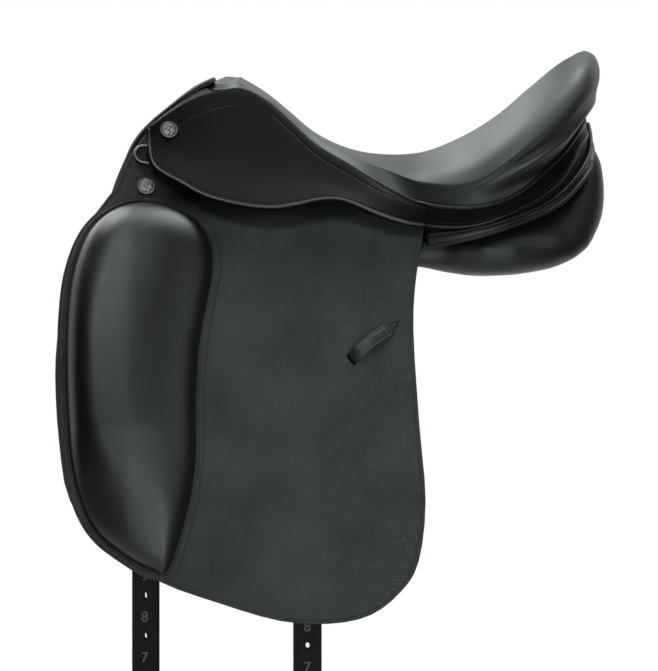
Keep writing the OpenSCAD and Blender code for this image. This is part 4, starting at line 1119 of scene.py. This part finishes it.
def joined_outline(lower, upper):
    """One outline of the flap below its fold and the part above it."""
    def part(loop, sign):
        loop, over = from_start(loop, over_fold(loop) * sign > FOLD_CLEAR)
        return loop[over]
    low, top = part(lower, -1), part(upper, 1)
    low = low if low[0, 0] < low[-1, 0] else low[::-1]
    top = top if top[0, 0] > top[-1, 0] else top[::-1]
    return np.vstack([low, top])


def make_flaps():
    """Flaps joined across their fold, with a sewn line round them, and the sweat flaps under them."""
    outline = joined_outline(rim("flap_left", FLAP_R), rim("flap_top_left", FLAP_R))
    loop = counterclockwise(smooth_loop(outline, 4))
    add_bending("flap_hide", cut_sheet(loop, -FLAP_T, 0), FLAP_LEATHER, "grained_leather", "{}_flap",
                FOLD_POINT + FOLD_UP * FLAP_BEND, FOLD_POINT - FOLD_UP * FLAP_BEND, ["flap_{}", "flap_top_{}"])
    seam = loop + inward(loop) * FLAP_SEAM
    seam, below = from_start(seam, over_fold(seam) < -SEAM_CLEAR)
    ear = ~below & (seam[:, 0] > EAR_X)
    for name, part, body in (("flap_stitches", below, "{}_flap"), ("ear_stitches", ear, "saddle")):
        add_pair(name, stitches(*side_row(seam[part], FLAP_SEAM_H)), THREAD, body)

    sweat = smooth_loop(rim("sweat_flap_left", SWEAT_OUT), 5)
    sheet = cut_sheet(sweat, SWEAT_OUT - SWEAT_T - FLAP_R, SWEAT_OUT - FLAP_R, spacing=14)
    add_pair("sweat_hide", sheet, LINING_LEATHER, replaces=["sweat_flap_{}"])


# Thigh blocks

BLOCK_H = 40
BLOCK_LIFT = 0.4
BLOCK_OUTLINE = [
    [198, 66], [166, 62], [139, 49], [125, 27], [123, 0], [129, -34], [137, -80], [140, -135], [140, -190],
    [147, -240], [160, -287], [172, -313], [188, -309], [206, -299], [238, -275], [256, -246], [267, -205],
    [271.5, -156], [273.5, -103], [272.5, -50], [267, -5], [252, 34], [228, 57]]
# Crest of the block, as height and x: along its front edge, then across to a keel at its tail
BLOCK_SPINE = [[-292, 175], [-246, 182], [-214, 208], [-180, 231], [-135, 239], [-45, 236], [8, 214]]
# The band round it, from its outer edge to its inner one: distance across and height, with two sewn grooves
BAND_HALF = [(4.4, 0.1), (4.3, 1.4), (3.5, 2.1), (2.9, 1.8), (2.4, 1.5), (1.9, 1.9), (1.0, 2.5)]
BAND_PROFILE = [(-u, h) for u, h in BAND_HALF] + [(0, 2.7)] + BAND_HALF[::-1]
BAND_OUT, BAND_SEAM, BAND_SEAM_H = 5.2, 2.4, 1.6
# Shares of the way in from its outline to its crest, of its foot and of the flat on its crown
BLOCK_FOOT, BLOCK_FLAT, BLOCK_RINGS = 0.06, 0.985, 26
# Where it is lowest, the run over which it gains its full height, and its share of that at the lowest, from its
# tail up and from its rear edge forwards
BLOCK_TAIL, BLOCK_REAR = (-315, 150, 0.45), (120, 90, 0.8)
# Powers of the curve from its outline up to its crest
BLOCK_ROUND, BLOCK_FULL = 2.5, 2.1


def block_height(xz, s):
    """Height of the block at a share of the way in to its crest: full in front and thin towards its tail."""
    rise = BLOCK_H
    for at, (start, run, least) in ((xz[:, 1], BLOCK_TAIL), (xz[:, 0], BLOCK_REAR)):
        rise = rise * (least + (1 - least) * np.clip((at - start) / run, 0, 1))
    return BLOCK_LIFT + (1 - (1 - s) ** BLOCK_ROUND) ** (1 / BLOCK_FULL) * rise


def make_blocks():
    """Blocks with a crest along their front, and a sewn band round each."""
    loop = counterclockwise(smooth_loop(BLOCK_OUTLINE, 5))
    z = np.clip(loop[:, 1], BLOCK_SPINE[0][0], BLOCK_SPINE[-1][0])
    inwards = np.stack([curve_at(BLOCK_SPINE, z)[:, 0], z], 1) - loop
    foot = loop + inwards * BLOCK_FOOT
    rings = [side_point(foot, BLOCK_LIFT)]
    for s in (1 - np.cos(np.linspace(0.02, math.pi / 2, BLOCK_RINGS)))[:-1] * BLOCK_FLAT:
        flat = loop + inwards * s
        rings.append(side_point(flat, block_height(flat, s)))
    top, top_faces = filled(flat, 3.0)
    low, low_faces = filled(foot, 14)
    shape = joined(loft(rings), (side_point(top, block_height(top, s)), top_faces),
                   (side_point(low, BLOCK_LIFT), low_faces))
    for block in add_pair("block_cover", shape, BLOCK_LEATHER, "{}_flap", replaces=["thigh_block_{}"]):
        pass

    band = smooth_loop((loop - inward(loop) * BAND_OUT)[::3], 4)
    add_pair("block_band", raised_band(band, BAND_PROFILE), FLAP_LEATHER, "{}_flap")
    n = inward(counterclockwise(band))
    rows = [stitches(*side_row(np.vstack([line, line[:1]]), BAND_SEAM_H), pitch=4.0, length=2.9)
            for line in (band + n * BAND_SEAM, band - n * BAND_SEAM)]
    add_pair("block_band_stitches", joined(*rows), THREAD, "{}_flap")


# Keepers for the stirrup leathers

KEEPER_PLACE = np.array([-41.5, -76.5])
KEEPER_TURN = math.radians(39)
KEEPER_T = 2.4
KEEPER_ENDS, KEEPER_WIDTHS = (-27, 23), (11, 14)
KEEPER_ALONG = np.array([-math.cos(KEEPER_TURN), math.sin(KEEPER_TURN)])
KEEPER_ACROSS = np.array([math.sin(KEEPER_TURN), math.cos(KEEPER_TURN)])
# The strap's middle line, as distance along and height
KEEPER_ARCH = [[-27, -2.5], [-25.5, 1.5], [-22.5, 6], [-16, 9.4], [-4, 10.4], [6, 8.6], [13, 5.4], [18, 3.4],
               [23.5, 2.8]]
# Crease near the strap's edges: depth, place as a share of its half width, and width. Then its crown.
KEEPER_CREASE, KEEPER_CROWN = (0.45, 0.68, 0.09), 0.5
# Outlines and sewn lines on the flap, as distances along and across
KEEPER_SLIT = [[-26.5 + 2.1 * math.cos(a), 7.6 * math.sin(a)] for a in turns(28)]
KEEPER_TIP = [[21, -4.4], [27, -5], [39.5, 0], [27, 5], [21, 4.4]]
KEEPER_SEAMS = (([[26, 3.6], [37, 0], [26, -3.6]], 1.25), ([[21.5, -5.4], [21.5, 5.4]], 3.5))


def keeper_flat(points):
    """Side-view points at distances along and across the keeper."""
    return np.array([KEEPER_PLACE + along * KEEPER_ALONG + across * KEEPER_ACROSS for along, across in points])


def patch(corners, height, step=1.5):
    """A thin pad on the flap inside corners."""
    loop = counterclockwise(even(np.vstack([corners, corners[:1]]), step)[:-1])
    n = inward(loop)
    rings = [side_point(loop + n * d, h) for d, h in ((0, -0.2), (0, 0.7 * height), (0.5, height))]
    top, faces = filled(loop + n * 0.5, 2 * step)
    return joined(loft(rings), (side_point(top, height), faces))


def make_keepers():
    """A strap that comes out of a slit in the flap, whose dark opening is a pad of painted shade, arches over a
    gap and is sewn down under a pointed tip.
    """
    along, height = spline(KEEPER_ARCH, 6).T
    width = np.interp(along, KEEPER_ENDS, KEEPER_WIDTHS)
    deep, at, wide = KEEPER_CREASE
    grid = []
    for v in np.linspace(-1, 1, 17):
        crease = deep * bell(abs(v) - at, wide)
        flat = keeper_flat(zip(along, v * width / 2))
        grid.append(side_point(flat, height + KEEPER_CROWN * (1 - v * v) - crease))
    strap = slab(np.array(grid), (0, 1, 0), KEEPER_T)
    add_pair("keeper_strap", strap, KEEPER_LEATHER, "{}_flap", replaces=["keeper_{}"])
    # A near-black pad on the flap paints the shade in the slit
    add_pair("keeper_slit", patch(keeper_flat(KEEPER_SLIT), 0.3), SLIT_SHADE_AND_THREAD, "{}_flap")
    add_pair("keeper_tip", patch(keeper_flat(KEEPER_TIP), 1.1), FLAP_LEATHER, "{}_flap")
    rows = [stitches(*side_row(even(keeper_flat(line), 1.2), h), pitch=2.6, length=1.9, width=1.1)
            for line, h in KEEPER_SEAMS]
    add_pair("keeper_stitches", joined(*rows), SLIT_SHADE_AND_THREAD, "{}_flap")


# Pommel: facing in front, the cap that closes it to the seat and skirts, and its piping

FRONT_EDGE = [[60, 234], [83, 226], [109, 215], [123, 208.5], [136, 199.5], [149, 187.5], [162, 173],
              [176, 157], [189, 140], [199, 122]]
HEAD_T, HEAD_GAP, GULLET_T = 11, 0.4, 3
HEAD_OUT = FLAP_R - FLAP_T - HEAD_GAP
GULLET_IN = HEAD_OUT - HEAD_T - HEAD_GAP - GULLET_T
FACING_LEAN, HEAD_LEAN = math.radians(34.4), math.radians(30.5)
FACING_LOW, FACING_T, FACING_DEEP = 50, 6, 6
# Where along the saddle the facing's heights are taken, and how far behind the front edge it lies
FACING_X, FACING_BEHIND = 140, 1
POMMEL_IN = 4.5
FACING_ROWS, CAP_ROWS, CAP_COLUMNS = 11, 9, 70
POMMEL_SWELL = 1.5
# The cap between facing, skirts and seat: its rear end, its lowest point, how far it goes in behind the facing,
# how far under the skirts' seam and the seat's edge it lies, and how far along the seat it goes
CAP_BACK, CAP_FOOT, CAP_TUCK, CAP_UNDER_SKIRT, CAP_UNDER_SEAT, CAP_SEAT_END = 100, 146, 4, 5, 6, 0.13


def arch(r, lean, low, steps=24):
    """Arch over the withers from the left foot to the crown, as y and height in the side cylinder's frame."""
    reach = SIDE_Y / math.cos(lean)
    crown, top = r - reach, SIDE_Z + reach * math.sin(lean)
    a = np.linspace(math.asin((low - SIDE_Z) / r), lean, steps, endpoint=False)
    b = np.linspace(lean, math.pi / 2, steps)
    side = np.stack([r * np.cos(a) - SIDE_Y, SIDE_Z + r * np.sin(a)], 1)
    return np.vstack([side, np.stack([crown * np.cos(b), top + crown * np.sin(b)], 1)])


def facing_points(p, back):
    """Points of the pommel's front, a way back from it, at points of an arch."""
    z = p[:, 1] * SIDE_COS + FACING_X * SIDE_SIN
    x = curve_at(FRONT_EDGE, np.minimum(z, FRONT_EDGE[-1][0]))[:, 0] - FACING_BEHIND - back
    return np.stack([x, p[:, 0], (p[:, 1] + x * SIDE_SIN) / SIDE_COS], 1)


def make_pommel():
    """The sewn and piped facing, and the cap behind it."""
    outer = arch(HEAD_OUT, FACING_LEAN, FACING_LOW)
    inner = arch(GULLET_IN - FACING_DEEP, HEAD_LEAN, FACING_LOW)
    drawn = POMMEL_IN * np.linspace(1, 0.1, len(outer))
    outer = outer + unit(inner - outer) * drawn[:, None]
    rows = []
    for v in np.linspace(0, 1, FACING_ROWS):
        line = facing_points(outer + (inner - outer) * v, drawn + v - POMMEL_SWELL * math.sin(math.pi * v))
        line[-1, 1] = 0
        rows.append(both_sides(line))
    grid = np.array(rows)
    add("pommel_front", slab(grid, (1, 0, 0), FACING_T), SKIRT_LEATHER, replaces=["pommel_facing"])
    n = grid_normals(grid, (1, 0, 0))
    for name, row, r in (("pommel_piping", 0, 2.4), ("gullet_piping", -1, 2.2)):
        add(name, piping(grid[row], r, up=(1, 0, 0)), PIPING_LEATHER)
    add("pommel_stitches", stitches(grid[2], n[2]), THREAD)

    x = np.linspace(SKIRT_NOSE, CAP_BACK, 40)
    upper = curve_at(skirt_upper(), x)
    side = np.stack([x, upper[:, 0] + 1, upper[:, 1] - CAP_UNDER_SKIRT], 1)
    front = seat_edge(np.linspace(CAP_SEAT_END, 0, 24), drop=CAP_UNDER_SEAT)
    front[-1, 1] = 0
    rim_line = facing_points(outer + unit(inner - outer) * CAP_TUCK, CAP_TUCK)
    rim_line[-1, 1] = 0
    s = np.linspace(0, 1, CAP_COLUMNS)
    edges = (even(np.vstack([side, front]), 3), even(rim_line[rim_line[:, 2] > CAP_FOOT], 3))
    a, b = (sampled(e, np.linspace(0, 1, len(e)), s) for e in edges)
    grid = np.array([both_sides(a + (b - a) * v + [0, 0, POMMEL_SWELL * math.sin(math.pi * v)])
                     for v in np.linspace(0, 1, CAP_ROWS)])
    add("pommel_cap", slab(grid, (0.3, 0, 1), 2.5), LINING_LEATHER)


# Studs

STUD_D, STUD_H = 18.8, 3.6
# Radius and height of each ring, as shares of the stud's own: a rolled rim, a groove and a flat face
STUD_RINGS = [(0.88, 0.0), (0.97, 0.08), (1.0, 0.28), (0.985, 0.48), (0.95, 0.58), (0.91, 0.56), (0.88, 0.44),
              (0.83, 0.36), (0.77, 0.38), (0.72, 0.48), (0.64, 0.54), (0.54, 0.56), (0.44, 0.57), (0.34, 0.58),
              (0.24, 0.58), (0.14, 0.58), (0.05, 0.58)]
STUD_FACE, STUD_DENTS, STUD_SIDES = 0.74, 0.055, 72


def stud_shape(centre, normal, forward):
    """A stud with a rolled rim, a groove and a hammered face."""
    n = unit(np.asarray(normal, float))
    f = unit(forward - np.dot(forward, n) * n)
    s = np.cross(n, f)
    a = turns(STUD_SIDES)
    rings = []
    for r, h in STUD_RINGS:
        across, up = r * np.cos(a), r * np.sin(a)
        waves = np.sin(9 * across + 4 * up) * np.sin(8 * up - 3 * across) + 0.6 * np.sin(15 * across - 11 * up)
        dents = STUD_DENTS * waves * (r < STUD_FACE) * (h > 0.5)
        rings.append(centre + np.outer(across, f) * STUD_D / 2 + np.outer(up, s) * STUD_D / 2
                     + np.outer((h + dents) * STUD_H, n))
    return capped(rings)


def make_studs():
    """Studs that sit where the CAD model's do, square to the leather under them."""
    for name in ("skirt_stud", "point_stud"):
        co = np.array([v.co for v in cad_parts[f"{name}_left"].data.vertices]) / MM
        normal = np.linalg.eigh(np.cov(co.T))[1][:, 0]
        normal = normal * np.sign(normal[1])
        depth = co @ normal
        base = co[depth < depth.min() + 0.2].mean(0)
        shape = stud_shape(base, normal, np.array([1.0, 0, 0]))
        add_pair(f"{name}_head", shape, NICKEL, replaces=[name + "_{}"])


# Numbers on the billets

BILLETS = {"front_billet": (192.5, -338), "rear_billet": (24.4, -348)}
HOLES, HOLE_PITCH = 9, 42
DIGIT_H, DIGIT_RAISED = 15, 0.12


def make_numbers():
    """Generic hole numbers printed on the billets, nine at the top."""
    for strap, (x, top_z) in BILLETS.items():
        for s, k in SIDES.items():
            low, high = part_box(f"{strap}_{s}")
            face = high.y if k > 0 else low.y
            depsgraph = bpy.context.evaluated_depsgraph_get()
            tree = BVHTree.FromObject(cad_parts[f"{strap}_{s}"], depsgraph)
            for i in range(HOLES):
                font = bpy.data.curves.new(f"{strap}_number_{i}_{s}", "FONT")
                font.body = str(HOLES - i)
                font.size = DIGIT_H * MM
                font.extrude = font.bevel_depth = DIGIT_RAISED * MM
                font.align_x, font.align_y = "CENTER", "CENTER"
                font.materials.append(STAMP)
                obj = place(f"{strap}_number_{i}_{s}", font)
                z = top_z - i * HOLE_PITCH + HOLE_PITCH / 2
                hit = tree.ray_cast(Vector((x * MM, RAY_FROM * k, z * MM)), Vector((0, -k, 0)))
                obj.location = (x * MM, hit[0].y if hit[0] else face, z * MM)
                obj.rotation_euler = (math.radians(90), 0, math.radians(180 if k > 0 else 0))
                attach(obj, f"{s}_{strap}")


make_camera()
make_stage()
dress_nodes()
make_seat()
make_skirts()
make_bands()
make_panels()
make_flaps()
make_blocks()
make_keepers()
make_pommel()
make_studs()
make_numbers()
